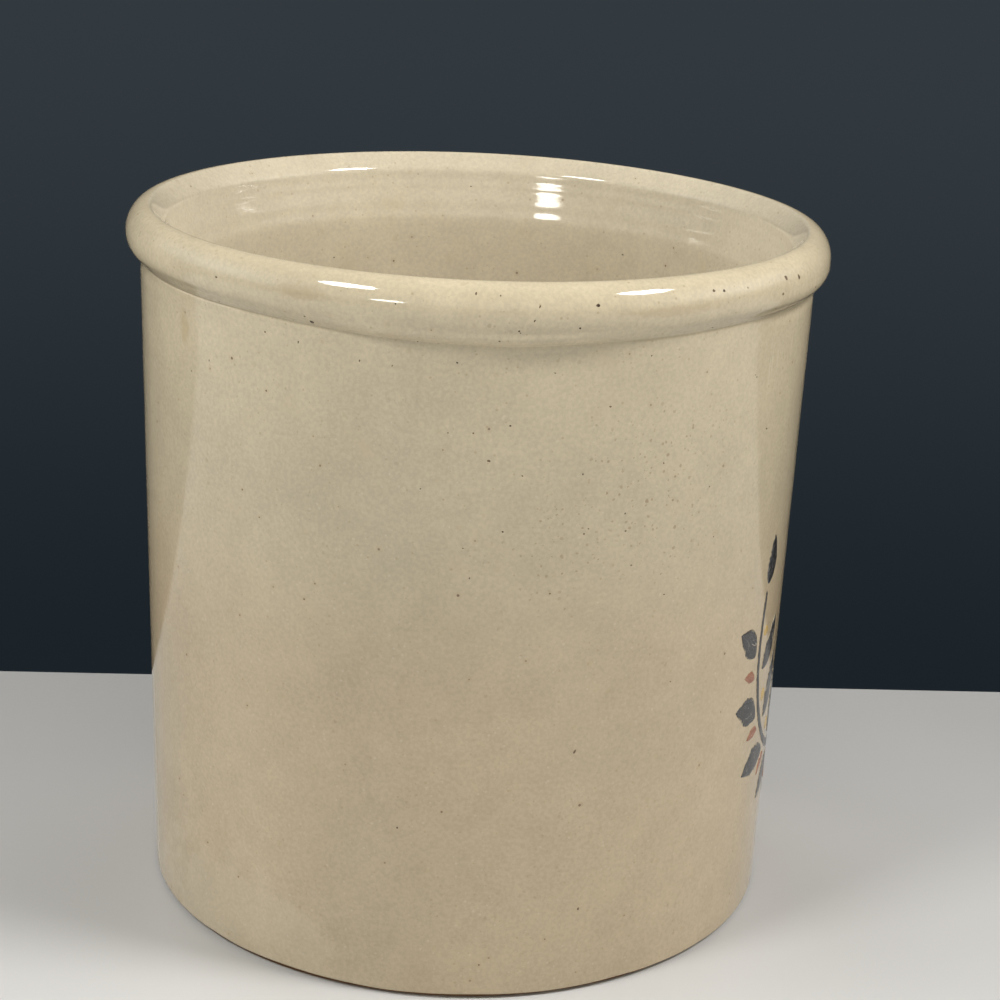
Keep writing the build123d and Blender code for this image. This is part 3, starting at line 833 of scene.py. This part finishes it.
bottom, top = len(verts) - 2, len(verts) - 1
last = (len(profile) - 1) * CLAY_ROUND
for j in range(CLAY_ROUND):
    i = (j + 1) % CLAY_ROUND
    faces.append((bottom, i, j))
    faces.append((last + j, last + i, top))
body = mesh_object("crock_clay", verts, faces, None, clay_mat)

# ----------------------------------------------------------------- brushwork
# s runs round the wall from the +X side towards the back, z is the height:
# (root s, root z, tip s, tip z, width, bend to the left of root-to-tip).
charcoal_leaves = [
    (-0.6, 39.0, -9.6, 56.1, 8.8, -1.4),
    (-16.5, 41.7, -17.6, 59.7, 8.3, -1.6),
    (-27.6, 50.3, -21.5, 65.4, 7.7, -1.0),
    (-33.6, 65.0, -25.2, 76.1, 7.0, -1.3),
    (-0.2, 33.3, -9.3, 22.2, 7.9, -1.1),
    (-13.2, 34.8, -26.3, 27.8, 7.7, -1.1),
    (-26.2, 41.1, -41.1, 39.5, 7.4, -0.9),
    (-35.7, 52.9, -47.9, 58.4, 7.0, -1.1),
    (-39.8, 70.1, -48.8, 78.2, 6.5, -0.9),
    (-35.8, 87.3, -33.7, 98.9, 6.5, -0.8),
    (23.7, 39.1, 33.5, 55.7, 8.8, 1.4),
    (39.5, 42.3, 40.3, 60.2, 8.3, 1.3),
    (50.7, 50.8, 44.8, 65.9, 7.7, 1.1),
    (57.1, 64.8, 49.5, 76.5, 7.0, 1.3),
    (23.6, 33.4, 33.9, 23.3, 7.9, 0.9),
    (36.4, 35.2, 50.0, 29.2, 7.7, 1.3),
    (49.4, 41.7, 64.1, 40.5, 7.4, 0.8),
    (58.8, 53.0, 71.6, 57.3, 7.0, 0.8),
    (63.4, 69.3, 72.9, 76.8, 6.5, 0.7),
    (60.1, 85.6, 58.4, 97.1, 6.5, 0.8),
]
rust_buds = [
    (-8.9, 34.1, -13.4, 28.1, 3.2, -0.5),
    (-22.6, 38.9, -28.8, 35.2, 3.1, -0.5),
    (-33.2, 49.1, -39.8, 48.5, 3.0, -0.5),
    (-38.9, 64.1, -44.8, 66.1, 2.9, -0.5),
    (32.2, 34.5, 36.8, 28.6, 3.0, 0.5),
    (45.8, 39.5, 51.9, 35.8, 3.1, 0.5),
    (56.3, 49.4, 62.9, 48.6, 3.0, 0.5),
    (62.2, 63.7, 68.2, 65.5, 2.9, 0.5),
    (8.7, 49.2, -0.5, 59.6, 4.7, -1.1),
    (14.3, 49.7, 23.8, 60.0, 4.7, 1.1),
]
ochre_petals = [
    (11.6, 78.7, 11.2, 88.5, 6.9, 0.5),
    (8.2, 76.6, 0.3, 81.4, 6.9, -0.5),
    (8.0, 72.5, -0.8, 67.7, 6.9, 0.5),
    (11.8, 70.2, 11.7, 60.4, 6.9, -0.5),
    (15.4, 72.2, 23.2, 67.2, 6.9, 0.5),
    (15.4, 76.7, 23.6, 81.8, 6.9, -0.5),
]
flower_heart = [(11.8, 74.5, 3.1)]
ochre_berries = [
    (-7.9, 40.8, 1.7),
    (-21.5, 46.3, 1.7),
    (-30.3, 57.2, 1.6),
    (-33.5, 74.8, 1.4),
    (31.0, 41.1, 1.6),
    (44.7, 46.9, 1.6),
    (53.5, 57.3, 1.5),
    (57.2, 74.0, 1.5),
    (11.6, 38.4, 2.1),
]
stems = [
    (
        [
            (8.2, 37.2),
            (0.4, 36.3),
            (-7.1, 36.5),
            (-14.1, 38.0),
            (-20.5, 40.7),
            (-26.1, 44.7),
            (-30.7, 50.1),
            (-34.2, 56.8),
            (-36.4, 64.9),
            (-37.0, 74.6),
            (-36.1, 85.7),
        ],
        2.7,
        1.3,
    ),
    (
        [
            (15.1, 36.9),
            (22.8, 36.3),
            (30.3, 36.9),
            (37.3, 38.5),
            (43.6, 41.3),
            (49.2, 45.3),
            (53.8, 50.5),
            (57.4, 56.9),
            (59.8, 64.6),
            (60.8, 73.6),
            (60.2, 83.9),
        ],
        2.7,
        1.3,
    ),
    ([(11.6, 42.0), (11.5, 45.2), (11.4, 48.8), (11.6, 52.4), (11.7, 56.7)], 2.2, 1.4),
]


def on_wall(s, z, lift):
    """Points of the warped wall, lift mm proud of the glaze."""
    s, z = np.asarray(s, float), np.asarray(z, float)
    a = math.pi / 2 + s / neck_r
    x, y, h = warp(wall_r(z) + lift, z, a)
    return np.stack([x, y, h], -1)


class Strokes:
    """Closed brush strokes gathered into one mesh."""

    def __init__(self):
        self.verts, self.faces, self.brush = [], [], []
        self.count = 0

    def _put(self, p, brush):
        p = p.reshape(-1, 3)
        self.verts.append(p)
        self.brush.append(brush.reshape(-1, 3))
        first = self.count
        self.count += len(p)
        return first

    def ribbon(self, line, half, seed, number, blunt=False):
        """A stroke along a middle line with half widths, both in mm."""
        rng = np.random.RandomState(seed)
        d = np.r_[0, np.cumsum(np.linalg.norm(np.diff(line, axis=0), axis=1))]
        t = np.gradient(line, axis=0)
        t /= np.linalg.norm(t, axis=1)[:, None]
        left = np.stack([-t[:, 1], t[:, 0]], 1)
        rough = []
        for side in (0, 1):
            w = np.zeros(len(d))
            for wave, size in ((9.0, 0.05), (4.1, 0.035), (1.9, 0.022), (0.9, 0.012)):
                w += size * np.cos(2 * math.pi * d / wave + rng.uniform(0, 6.28))
            rough.append(w)
        across = np.array([-1.0, -0.95, -0.84, -0.6, -0.3, 0.0, 0.3, 0.6, 0.84, 0.95, 1.0])
        ends = len(d)
        s = np.zeros((ends - 2, len(across)))
        z = np.zeros_like(s)
        up = np.zeros_like(s)
        for k, v in enumerate(across):
            side = rough[0] if v < 0 else rough[1]
            w = half * (1 + side) * v
            q = line + left * w[:, None]
            s[:, k], z[:, k] = q[1:-1, 0], q[1:-1, 1]
            up[:, k] = (1 - abs(v) ** 5) ** 0.6
        pooling_and_painted_light = 0.86 + 0.12 * np.cos(2 * math.pi * d[1:-1] / 7.3 + rng.uniform(0, 6.28))
        lift = enamel_t * (0.06 + 0.94 * up * pooling_and_painted_light[:, None])
        brush = np.stack(
            [np.repeat(d[1:-1, None], len(across), 1), np.broadcast_to(across, s.shape), np.full(s.shape, number)], -1
        )
        top = self._put(on_wall(s, z, lift), brush)
        low = self._put(on_wall(s, z, np.full_like(s, -0.12)), brush)
        tips = self._put(
            np.vstack([on_wall(line[[0, -1], 0], line[[0, -1], 1], np.full(2, enamel_t * 0.1)), on_wall(line[[0, -1], 0], line[[0, -1], 1], np.full(2, -0.12))]),
            np.array([[0, 0, number], [d[-1], 0, number]] * 2),
        )
        m, n = s.shape
        f = self.faces
        for i in range(m - 1):
            for k in range(n - 1):
                a = i * n + k
                f.append((top + a, top + a + n, top + a + n + 1, top + a + 1))
                f.append((low + a + 1, low + a + n + 1, low + a + n, low + a))
            f.append((top + i * n, low + i * n, low + (i + 1) * n, top + (i + 1) * n))
            e = n - 1
            f.append((top + (i + 1) * n + e, low + (i + 1) * n + e, low + i * n + e, top + i * n + e))
        for k in range(n - 1):
            f.append((tips, top + k, top + k + 1))
            f.append((tips + 2, low + k + 1, low + k))
            a = (m - 1) * n + k
            f.append((tips + 1, top + a + 1, top + a))
            f.append((tips + 3, low + a, low + a + 1))
        f.append((tips, tips + 2, low, top))
        f.append((top + n - 1, low + n - 1, tips + 2, tips))
        a = (m - 1) * n
        f.append((top + a, low + a, tips + 3, tips + 1))
        f.append((tips + 1, tips + 3, low + a + n - 1, top + a + n - 1))

    def dab(self, s0, z0, radius, seed, number, around=28):
        """A round touch of the brush."""
        rng = np.random.RandomState(seed)
        a = np.linspace(0, 2 * math.pi, around, endpoint=False)
        edge = np.ones(around)
        for n, size in ((2, 0.06), (3, 0.045), (5, 0.03), (8, 0.018)):
            edge += size * np.cos(n * a + rng.uniform(0, 6.28))
        rings = np.array([0.25, 0.5, 0.72, 0.87, 0.95, 1.0])
        s = s0 + radius * rings[:, None] * edge * np.cos(a)
        z = z0 + radius * rings[:, None] * edge * np.sin(a)
        lift = enamel_t * (0.06 + 0.88 * (1 - rings**5) ** 0.6)[:, None] + np.zeros_like(s)
        brush = np.stack([s - s0 + radius, np.repeat(rings[:, None], around, 1) * np.sign(np.cos(a)), np.full(s.shape, number)], -1)
        top = self._put(on_wall(s, z, lift), brush)
        low = self._put(on_wall(s[-1:], z[-1:], np.full((1, around), -0.12)), brush[-1:])
        mid = self._put(on_wall([s0, s0], [z0, z0], np.array([enamel_t * 0.95, -0.12])), np.array([[radius, 0, number]] * 2))
        m = len(rings)
        f = self.faces
        for i in range(m - 1):
            for k in range(around):
                j = (k + 1) % around
                f.append((top + i * around + k, top + (i + 1) * around + k, top + (i + 1) * around + j, top + i * around + j))
        for k in range(around):
            j = (k + 1) % around
            f.append((mid, top + k, top + j))
            f.append((top + (m - 1) * around + k, low + k, low + j, top + (m - 1) * around + j))
            f.append((mid + 1, low + j, low + k))

    def build(self, name, mat):
        ob = mesh_object(name, np.vstack(self.verts), self.faces, None, mat)
        data = ob.data.attributes.new("brush", "FLOAT_VECTOR", "POINT")
        data.data.foreach_set("vector", np.vstack(self.brush).astype(np.float32).ravel())
        return ob


def leaf_stroke(strokes, leaf, lean_, fullness, seed, number):
    rs, rz, ts, tz, width, bend_ = leaf
    length = math.hypot(ts - rs, tz - rz)
    nx, nz = -(tz - rz) / length, (ts - rs) / length
    u = (1 - np.cos(np.linspace(0, math.pi, 40))) / 2
    u = 0.35 * u + 0.65 * np.linspace(0, 1, 40)
    k = 4 * bend_ * u * (1 - u)
    line = np.stack([rs + (ts - rs) * u + nx * k, rz + (tz - rz) * u + nz * k], 1)
    half = width / 2 * np.sin(math.pi * np.clip(u, 1e-6, 1 - 1e-6) ** lean_) ** fullness
    strokes.ribbon(line, half * 0.985, seed, number)


def stem_stroke(strokes, points, root_w, end_w, seed, number):
    p = np.array(points)
    d = np.r_[0, np.cumsum(np.linalg.norm(np.diff(p, axis=0), axis=1))]
    n = int(d[-1] / 0.8) + 6
    at = np.linspace(0, d[-1], n)
    # A smooth line through the points: cubic pieces with matched slopes.
    slope = np.gradient(p, d, axis=0)
    k = np.clip(np.searchsorted(d, at, "right") - 1, 0, len(d) - 2)
    h = (d[k + 1] - d[k])[:, None]
    t = ((at - d[k]) / (d[k + 1] - d[k]))[:, None]
    line = (
        (2 * t**3 - 3 * t**2 + 1) * p[k]
        + (t**3 - 2 * t**2 + t) * h * slope[k]
        + (3 * t**2 - 2 * t**3) * p[k + 1]
        + (t**3 - t**2) * h * slope[k + 1]
    )
    half = (root_w + (end_w - root_w) * at / d[-1]) / 2
    end = np.minimum(at, d[-1] - at) / half
    half = half * np.sqrt(np.clip(1 - (1 - np.clip(end, 0, 1)) ** 2, 0, 1))
    strokes.ribbon(line, half * 0.98, seed, number)


leaves, twigs, buds, heart, petals, berries = (Strokes() for _ in range(6))
for k, leaf in enumerate(charcoal_leaves):
    leaf_stroke(leaves, leaf, 0.85, 0.8, 100 + k, 0.13 + 0.37 * k)
for k, (points, root_w, end_w) in enumerate(stems):
    stem_stroke(twigs, points, root_w, end_w, 200 + k, 0.4 + 1.3 * k)
for k, leaf in enumerate(rust_buds):
    leaf_stroke(buds, leaf, 0.85, 0.8, 300 + k, 0.2 + 0.41 * k)
for s, z, r in flower_heart:
    heart.dab(s, z, r * 0.985, 400, 0.7, 40)
for k, leaf in enumerate(ochre_petals):
    leaf_stroke(petals, leaf, 1.15, 0.62, 500 + k, 0.3 + 0.53 * k)
for k, (s, z, r) in enumerate(ochre_berries):
    berries.dab(s, z, r * 0.985, 600 + k, 0.5 + 0.61 * k)
leaves = leaves.build("spray_charcoal_leaves", charcoal_mat)
twigs = twigs.build("spray_charcoal_stems", charcoal_mat)
buds = buds.build("spray_rust_buds", rust_mat)
heart = heart.build("spray_rust_heart", rust_mat)
petals = petals.build("spray_ochre_petals", ochre_mat)
berries = berries.build("spray_ochre_berries", ochre_mat)

# -------------------------------------------------------------- iron specks
# Bigger burnt specks, standing a hair out of the glaze: azimuth, height, size.
big_specks = [
    (-24.9, 155.0, 0.52),
    (-25.8, 156.2, 0.22),
    (-27.7, 149.9, 0.24),
    (-33.8, 150.7, 0.24),
    (-17.5, 147.9, 0.24),
    (-12.4, 147.6, 0.18),
    (-2.7, 149.3, 0.22),
    (-0.3, 164.3, 0.30),
    (3.2, 164.1, 0.18),
    (-11.6, 161.4, 0.17),
    (8.8, 162.2, 0.26),
    (8.1, 159.3, 0.24),
    (17.3, 162.3, 0.42),
    (14.8, 157.6, 0.26),
    (6.0, 157.0, 0.24),
    (3.3, 154.7, 0.22),
    (-41.7, 160.9, 0.28),
    (-46.3, 141.0, 0.22),
    (-51.2, 137.1, 0.22),
    (0.1, 134.4, 0.21),
    (5.6, 136.2, 0.22),
    (7.8, 125.3, 0.20),
    (17.3, 125.3, 0.23),
    (18.1, 111.9, 0.23),
    (24.9, 115.7, 0.20),
    (25.2, 111.7, 0.25),
    (26.7, 103.6, 0.23),
    (31.3, 126.0, 0.22),
    (41.4, 118.5, 0.20),
    (51.3, 141.0, 0.21),
    (56.3, 127.7, 0.28),
    (12.0, 147.5, 0.18),
    (5.2, 112.9, 0.22),
    (-0.8, 109.0, 0.18),
    (0.4, 102.3, 0.20),
    (21.1, 139.8, 0.25),
    (33.5, 95.4, 0.19),
    (43.5, 106.3, 0.19),
    (18.8, 113.0, 0.20),
    (6.2, 156.6, 0.17),
    (-8.6, 153.3, 0.18),
    (37.0, 163.4, 0.38),
    (39.0, 163.1, 0.36),
    (44.1, 162.9, 0.22),
    (54.3, 163.0, 0.56),
    (58.4, 162.3, 0.54),
    (53.0, 159.8, 0.36),
    (65.9, 158.1, 0.26),
    (38.3, 154.9, 0.22),
    (27.5, 150.2, 0.18),
    (50.8, 141.6, 0.18),
    (2.6, 128.5, 0.34),
    (-7.6, 121.6, 0.17),
    (-3.7, 134.2, 0.17),
    (18.9, 60.9, 0.42),
    (21.4, 21.3, 0.34),
    (-9.8, 42.3, 0.24),
    (36.4, 73.8, 0.20),
]
rng = np.random.RandomState(71)
for _ in range(46):  # the sides and the back that the photo doesn't show
    a = rng.uniform(75, 285)
    z = 12 + 150 * rng.uniform(0, 1) ** 0.75
    if 48 < a < 140 and 18 < z < 104:
        continue
    big_specks.append((a if a < 180 else a - 360, z, 0.15 + 0.25 * rng.uniform(0, 1) ** 2.2))
inside_specks = [(147.8, 143.7, 0.26)] + [
    (rng.uniform(-180, 180), rng.uniform(24, 158), 0.14 + 0.22 * rng.uniform(0, 1) ** 2) for _ in range(22)
]


def surface_at(rows, az, z):
    """Place and normal on the visible grid at an azimuth and height."""
    lo, hi = rows
    j = (math.radians(az) / (2 * math.pi) * ROUND) % ROUND
    j0, f = int(j) % ROUND, j - int(j)
    j1 = (j0 + 1) % ROUND
    column = Z3[lo:hi, j0]
    k = int(np.argmin(np.abs(column - z)))
    k = min(max(k, 1), hi - lo - 2)
    other = k + 1 if (column[k + 1] - z) * (column[k] - z) <= 0 else k - 1
    span = column[other] - column[k]
    g = 0.0 if abs(span) < 1e-9 else min(1.0, max(0.0, (z - column[k]) / span))
    grid = np.stack([X, Y, Z3], -1)[lo:hi]
    norm = N[lo:hi]
    mixed = []
    for w in (grid, norm):
        a = w[k, j0] * (1 - f) + w[k, j1] * f
        b = w[other, j0] * (1 - f) + w[other, j1] * f
        mixed.append(a * (1 - g) + b * g)
    return mixed[0], mixed[1] / np.linalg.norm(mixed[1])


def lens_mesh(spots):
    """Small irregular lenses half sunk in the glaze, each one closed."""
    verts, faces = [], []
    for k, (place, normal, size) in enumerate(spots):
        r = np.random.RandomState(900 + k)
        u = np.cross(normal, (0.3, 0.2, 0.93))
        u /= np.linalg.norm(u)
        v = np.cross(normal, u)
        stretch, spin = r.uniform(0.75, 1.3), r.uniform(0, 6.28)
        count = 12
        a = np.linspace(0, 2 * math.pi, count, endpoint=False)
        edge = 1 + 0.12 * np.cos(2 * a + r.uniform(0, 6.28)) + 0.08 * np.cos(3 * a + r.uniform(0, 6.28))
        ca_, sa_ = np.cos(a + spin) * stretch, np.sin(a + spin) / stretch
        first = len(verts)
        for share, lift in ((1.0, -0.02), (0.8, 0.020), (0.4, 0.034)):
            for i in range(count):
                q = place + (u * ca_[i] + v * sa_[i]) * size * share * edge[i] + normal * lift
                verts.append(q)
        verts.append(place + normal * 0.038)
        verts.append(place - normal * 0.06)
        for ring in range(2):
            for i in range(count):
                j = (i + 1) % count
                a0, b0 = first + ring * count, first + (ring + 1) * count
                faces.append((a0 + i, a0 + j, b0 + j, b0 + i))
        for i in range(count):
            j = (i + 1) % count
            faces.append((first + 2 * count + i, first + 2 * count + j, first + 3 * count))
            faces.append((first + j, first + i, first + 3 * count + 1))
    return verts, faces


spots = [(*surface_at((0, split), a, z), s) for a, z, s in big_specks]
spots += [(*surface_at((split + 20, len(X) - 40), a, z), s) for a, z, s in inside_specks]
verts, faces = lens_mesh(spots)
specks = mesh_object("iron_specks", verts, faces, None, iron_mat)

# ------------------------------------------------------- pieces and the frame
pairs = (
    (body, ("stoneware_body",), "fired_clay"),
    (liner, ("interior_glaze",), "liner_glaze"),
    (outer, ("exterior_glaze",), "outer_glaze"),
    (leaves, ("charcoal_leaf_strokes",), "charcoal_enamel"),
    (twigs, ("charcoal_stem_strokes",), "charcoal_enamel"),
    (buds, ("rust_bud_strokes",), "rust_enamel"),
    (heart, ("rust_flower_heart",), "rust_enamel"),
    (petals, ("ochre_flower_petals",), "ochre_enamel"),
    (berries, ("ochre_berry_dots",), "ochre_enamel"),
    (specks, (), "outer_glaze"),
)
for piece, nodes, slot in pairs:
    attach(piece, "root")
    if nodes:
        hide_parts(*nodes)

# -------------------------------------------------------------------- stage
# A pale table whose straight back edge runs just behind the crock.
edge_y, edge_slope = 0.1070, 0.0412


def table_top():
    verts, faces = [], []
    left, right, front = -1.6, 1.6, -1.6
    corner_r = 0.0012
    section_ = [(-0.024, 0.0), (0.0, 0.0)]
    section_ = [(0.0, -0.024)] + [
        (-corner_r + corner_r * math.cos(a), -corner_r + corner_r * math.sin(a)) for a in np.linspace(0, math.pi / 2, 7)
    ]
    # Rows across x, a few metres of board from the back edge to the front.
    profile_ = section_ + [(front, 0.0), (front, -0.024)]
    for x in (left, right):
        for dy, z in profile_:
            y = (edge_y + edge_slope * x + dy) if dy > -1.0 else front
            verts.append((x, y, z))
    n = len(profile_)
    for k in range(n):
        m = (k + 1) % n
        faces.append((k, m, n + m, n + k))
    faces.append(tuple(range(n))[::-1])
    faces.append(tuple(range(n, 2 * n)))
    me = bpy.data.meshes.new("table_board")
    me.from_pydata(verts, [], faces)
    me.validate()
    me.update()
    ob = bpy.data.objects.new("table_board", me)
    bpy.context.scene.collection.objects.link(ob)
    mat, t = material("pale_board")
    p = in_mm(t)
    tone = t.math(
        "MULTIPLY", t.ramp(t.noise(p, 160, 2, 0.5), 0.3, 0.7, 0.985, 1.01), t.ramp(t.noise(p, 1.6, 3, 0.6, 5), 0.3, 0.7, 0.988, 1.008)
    )
    colour = t.mix(
        1.0, rgb(0.545, 0.541, 0.532), t.add("ShaderNodeCombineXYZ", {0: tone, 1: tone, 2: tone}).outputs[0], "MULTIPLY"
    )
    # Painted light: the board is painted a little darker near its back edge and paler towards the front, standing in
    # for light that falls off away from the lamps.
    deep = t.add("ShaderNodeSeparateXYZ", {0: p}).outputs[1]
    colour = t.mix(t.ramp(deep, 110, 10), colour, rgb(0.622, 0.617, 0.607))
    colour = t.mix(t.ramp(deep, -25, -150), colour, rgb(0.820, 0.816, 0.806))
    rough = t.ramp(t.noise(p, 60, 2, 0.5, 8), 0.3, 0.7, 0.42, 0.52)
    normal = t.add("ShaderNodeBump", {"Strength": 0.4, "Distance": 0.00003, "Height": t.noise(p, 1.2, 3, 0.6, 3)}).outputs[0]
    finish_material(t, colour, rough, normal, spec=0.4)
    me.materials.append(mat)
    return ob


table_board = table_top()

# ------------------------------------------------------------------- lights
# Radiances (red, green, blue) of the soft sky, by azimuth, and of the lamps.
sky = {
    "low-90": (1.95, 1.97, 1.91),
    "low-45": (0.32, 0.34, 0.31),
    "low0": (0.58, 0.58, 0.54),
    "low45": (0.30, 0.30, 0.26),
    "low90": (2.26, 2.25, 2.12),
}
lamp = {
    "lamp_left": (30.0, 30.0, 29.4),
    "lamp_right": (48.6, 47.8, 46.9),
    "lamp_low": (24.0, 23.6, 22.4),
    "fill_back_left": (2.4, 2.4, 2.5),
    "fill_back_right": (1.22, 1.25, 1.34),
    "fill_left": (3.6, 3.6, 3.8),
    "box_front": (0.17, 0.16, 0.14),
    "box_mouth": (2.2, 2.2, 2.0),
    "box_low": (0.38, 0.36, 0.34),
}


def sky_world():
    world = bpy.data.worlds.new("studio")
    world.use_nodes = True
    t = Tree(world.node_tree)
    d = t.add("ShaderNodeTexCoord").outputs["Generated"]
    xyz = t.add("ShaderNodeSeparateXYZ", {0: d})
    x, y, z = xyz.outputs
    az = t.math("MULTIPLY", t.math("ARCTAN2", x, t.math("MULTIPLY", y, -1.0)), 180 / math.pi)
    band = t.math("MULTIPLY", t.ramp(z, 0.0, 0.34), t.math("SUBTRACT", 1.0, t.ramp(z, 0.34, 0.80)))
    total = None
    for name, colour in sky.items():
        away = t.math("ABSOLUTE", t.math("SUBTRACT", az, float(name[3:])))
        near = t.math("MAXIMUM", t.math("SUBTRACT", 1.0, t.math("DIVIDE", away, 45.0)), 0.0)
        mask = t.math("MULTIPLY", band, near)
        node = t.add("ShaderNodeVectorMath", {0: colour, "Scale": mask}, operation="SCALE", name="sky_" + name)
        total = node.outputs[0] if total is None else t.vec("ADD", total, node.outputs[0])
    lit = t.add("ShaderNodeBackground", {"Color": total, "Strength": 1.0})
    # What the camera sees: a plain slate backdrop, lighter upwards.
    slate = t.mix(t.ramp(z, -0.40, -0.09), rgb(0.0110, 0.0165, 0.0215), rgb(0.0330, 0.0420, 0.0500))
    seen = t.add("ShaderNodeBackground", {"Color": slate, "Strength": 1.0})
    path = t.add("ShaderNodeLightPath")
    both = t.add("ShaderNodeMixShader", {0: path.outputs["Is Camera Ray"], 1: lit.outputs[0], 2: seen.outputs[0]})
    t.add("ShaderNodeOutputWorld", {0: both.outputs[0]})
    bpy.context.scene.world = world
    return world


def lamp_at(name, az, el, distance, width, tall=None, glossy=True, diffuse=True):
    """A disc or bar of light that faces the rim of the crock, unseen itself."""
    data = bpy.data.lights.new(name, "AREA")
    data.shape = "ELLIPSE"
    data.size = width
    data.size_y = tall or width
    area = math.pi / 4 * data.size * data.size_y
    r, g, b = lamp[name]
    data.color = (r / max(r, g, b, 1e-9), g / max(r, g, b, 1e-9), b / max(r, g, b, 1e-9))
    data.energy = max(r, g, b) * area * math.pi
    a, e = math.radians(az), math.radians(el)
    way = Vector((math.sin(a) * math.cos(e), -math.cos(a) * math.cos(e), math.sin(e)))
    ob = bpy.data.objects.new(name, data)
    ob.location = Vector((0, 0, 0.15)) + way * distance
    ob.rotation_mode = "QUATERNION"
    ob.rotation_quaternion = way.to_track_quat("Z", "Y")
    ob.visible_camera = False
    ob.visible_glossy = glossy
    ob.visible_diffuse = diffuse
    bpy.context.scene.collection.objects.link(ob)
    return ob


world = sky_world()
lamp_at("lamp_left", -48.3, 45, 0.85, 0.235, 0.180)
lamp_at("lamp_right", 67.6, 48, 0.85, 0.225, 0.165)
lamp_at("lamp_low", -27, 14, 1.3, 0.23, 0.11, diffuse=False)
lamp_at("fill_back_left", -150, 32, 1.3, 0.7, glossy=False)
lamp_at("fill_back_right", 150, 32, 1.3, 0.7, glossy=False)
lamp_at("fill_left", -112, 2, 1.0, 0.4, glossy=False)
lamp_at("box_front", 0, 38, 0.75, 0.7, 0.45, glossy=False)
lamp_at("box_mouth", 180, 89, 0.33, 0.16, 0.12, glossy=False)
lamp_at("box_low", -8, 5, 0.9, 0.8, 0.25, glossy=False)

# ------------------------------------------------------------------- camera
cam_data = bpy.data.cameras.new("camera")
cam_data.lens = 79.2
cam_data.sensor_width = 36.0
cam_data.sensor_fit = "HORIZONTAL"
cam_data.shift_x = -0.04
cam_data.shift_y = 0.0
cam_data.clip_start = 0.02
cam_data.clip_end = 20.0
camera = bpy.data.objects.new("camera", cam_data)
right = Vector((0.9987003231535857, -0.01756128572285319, 0.047846272338437294))
up = Vector((-0.03984200068765942, 0.316446292704741, 0.9477733689097991))
ahead = Vector((0.031784894433176, 0.9484478610219889, -0.31533533802713287))
turned = Matrix((right, up, -ahead)).transposed().to_4x4()
camera.matrix_world = Matrix.Translation((0.0, -0.513034522, 0.264875481)) @ turned
bpy.context.scene.collection.objects.link(camera)
bpy.context.scene.camera = camera

scene = bpy.context.scene
scene.view_settings.view_transform = "Standard"
scene.view_settings.look = "None"
scene.view_settings.exposure = 0.0
scene.view_settings.gamma = 1.0
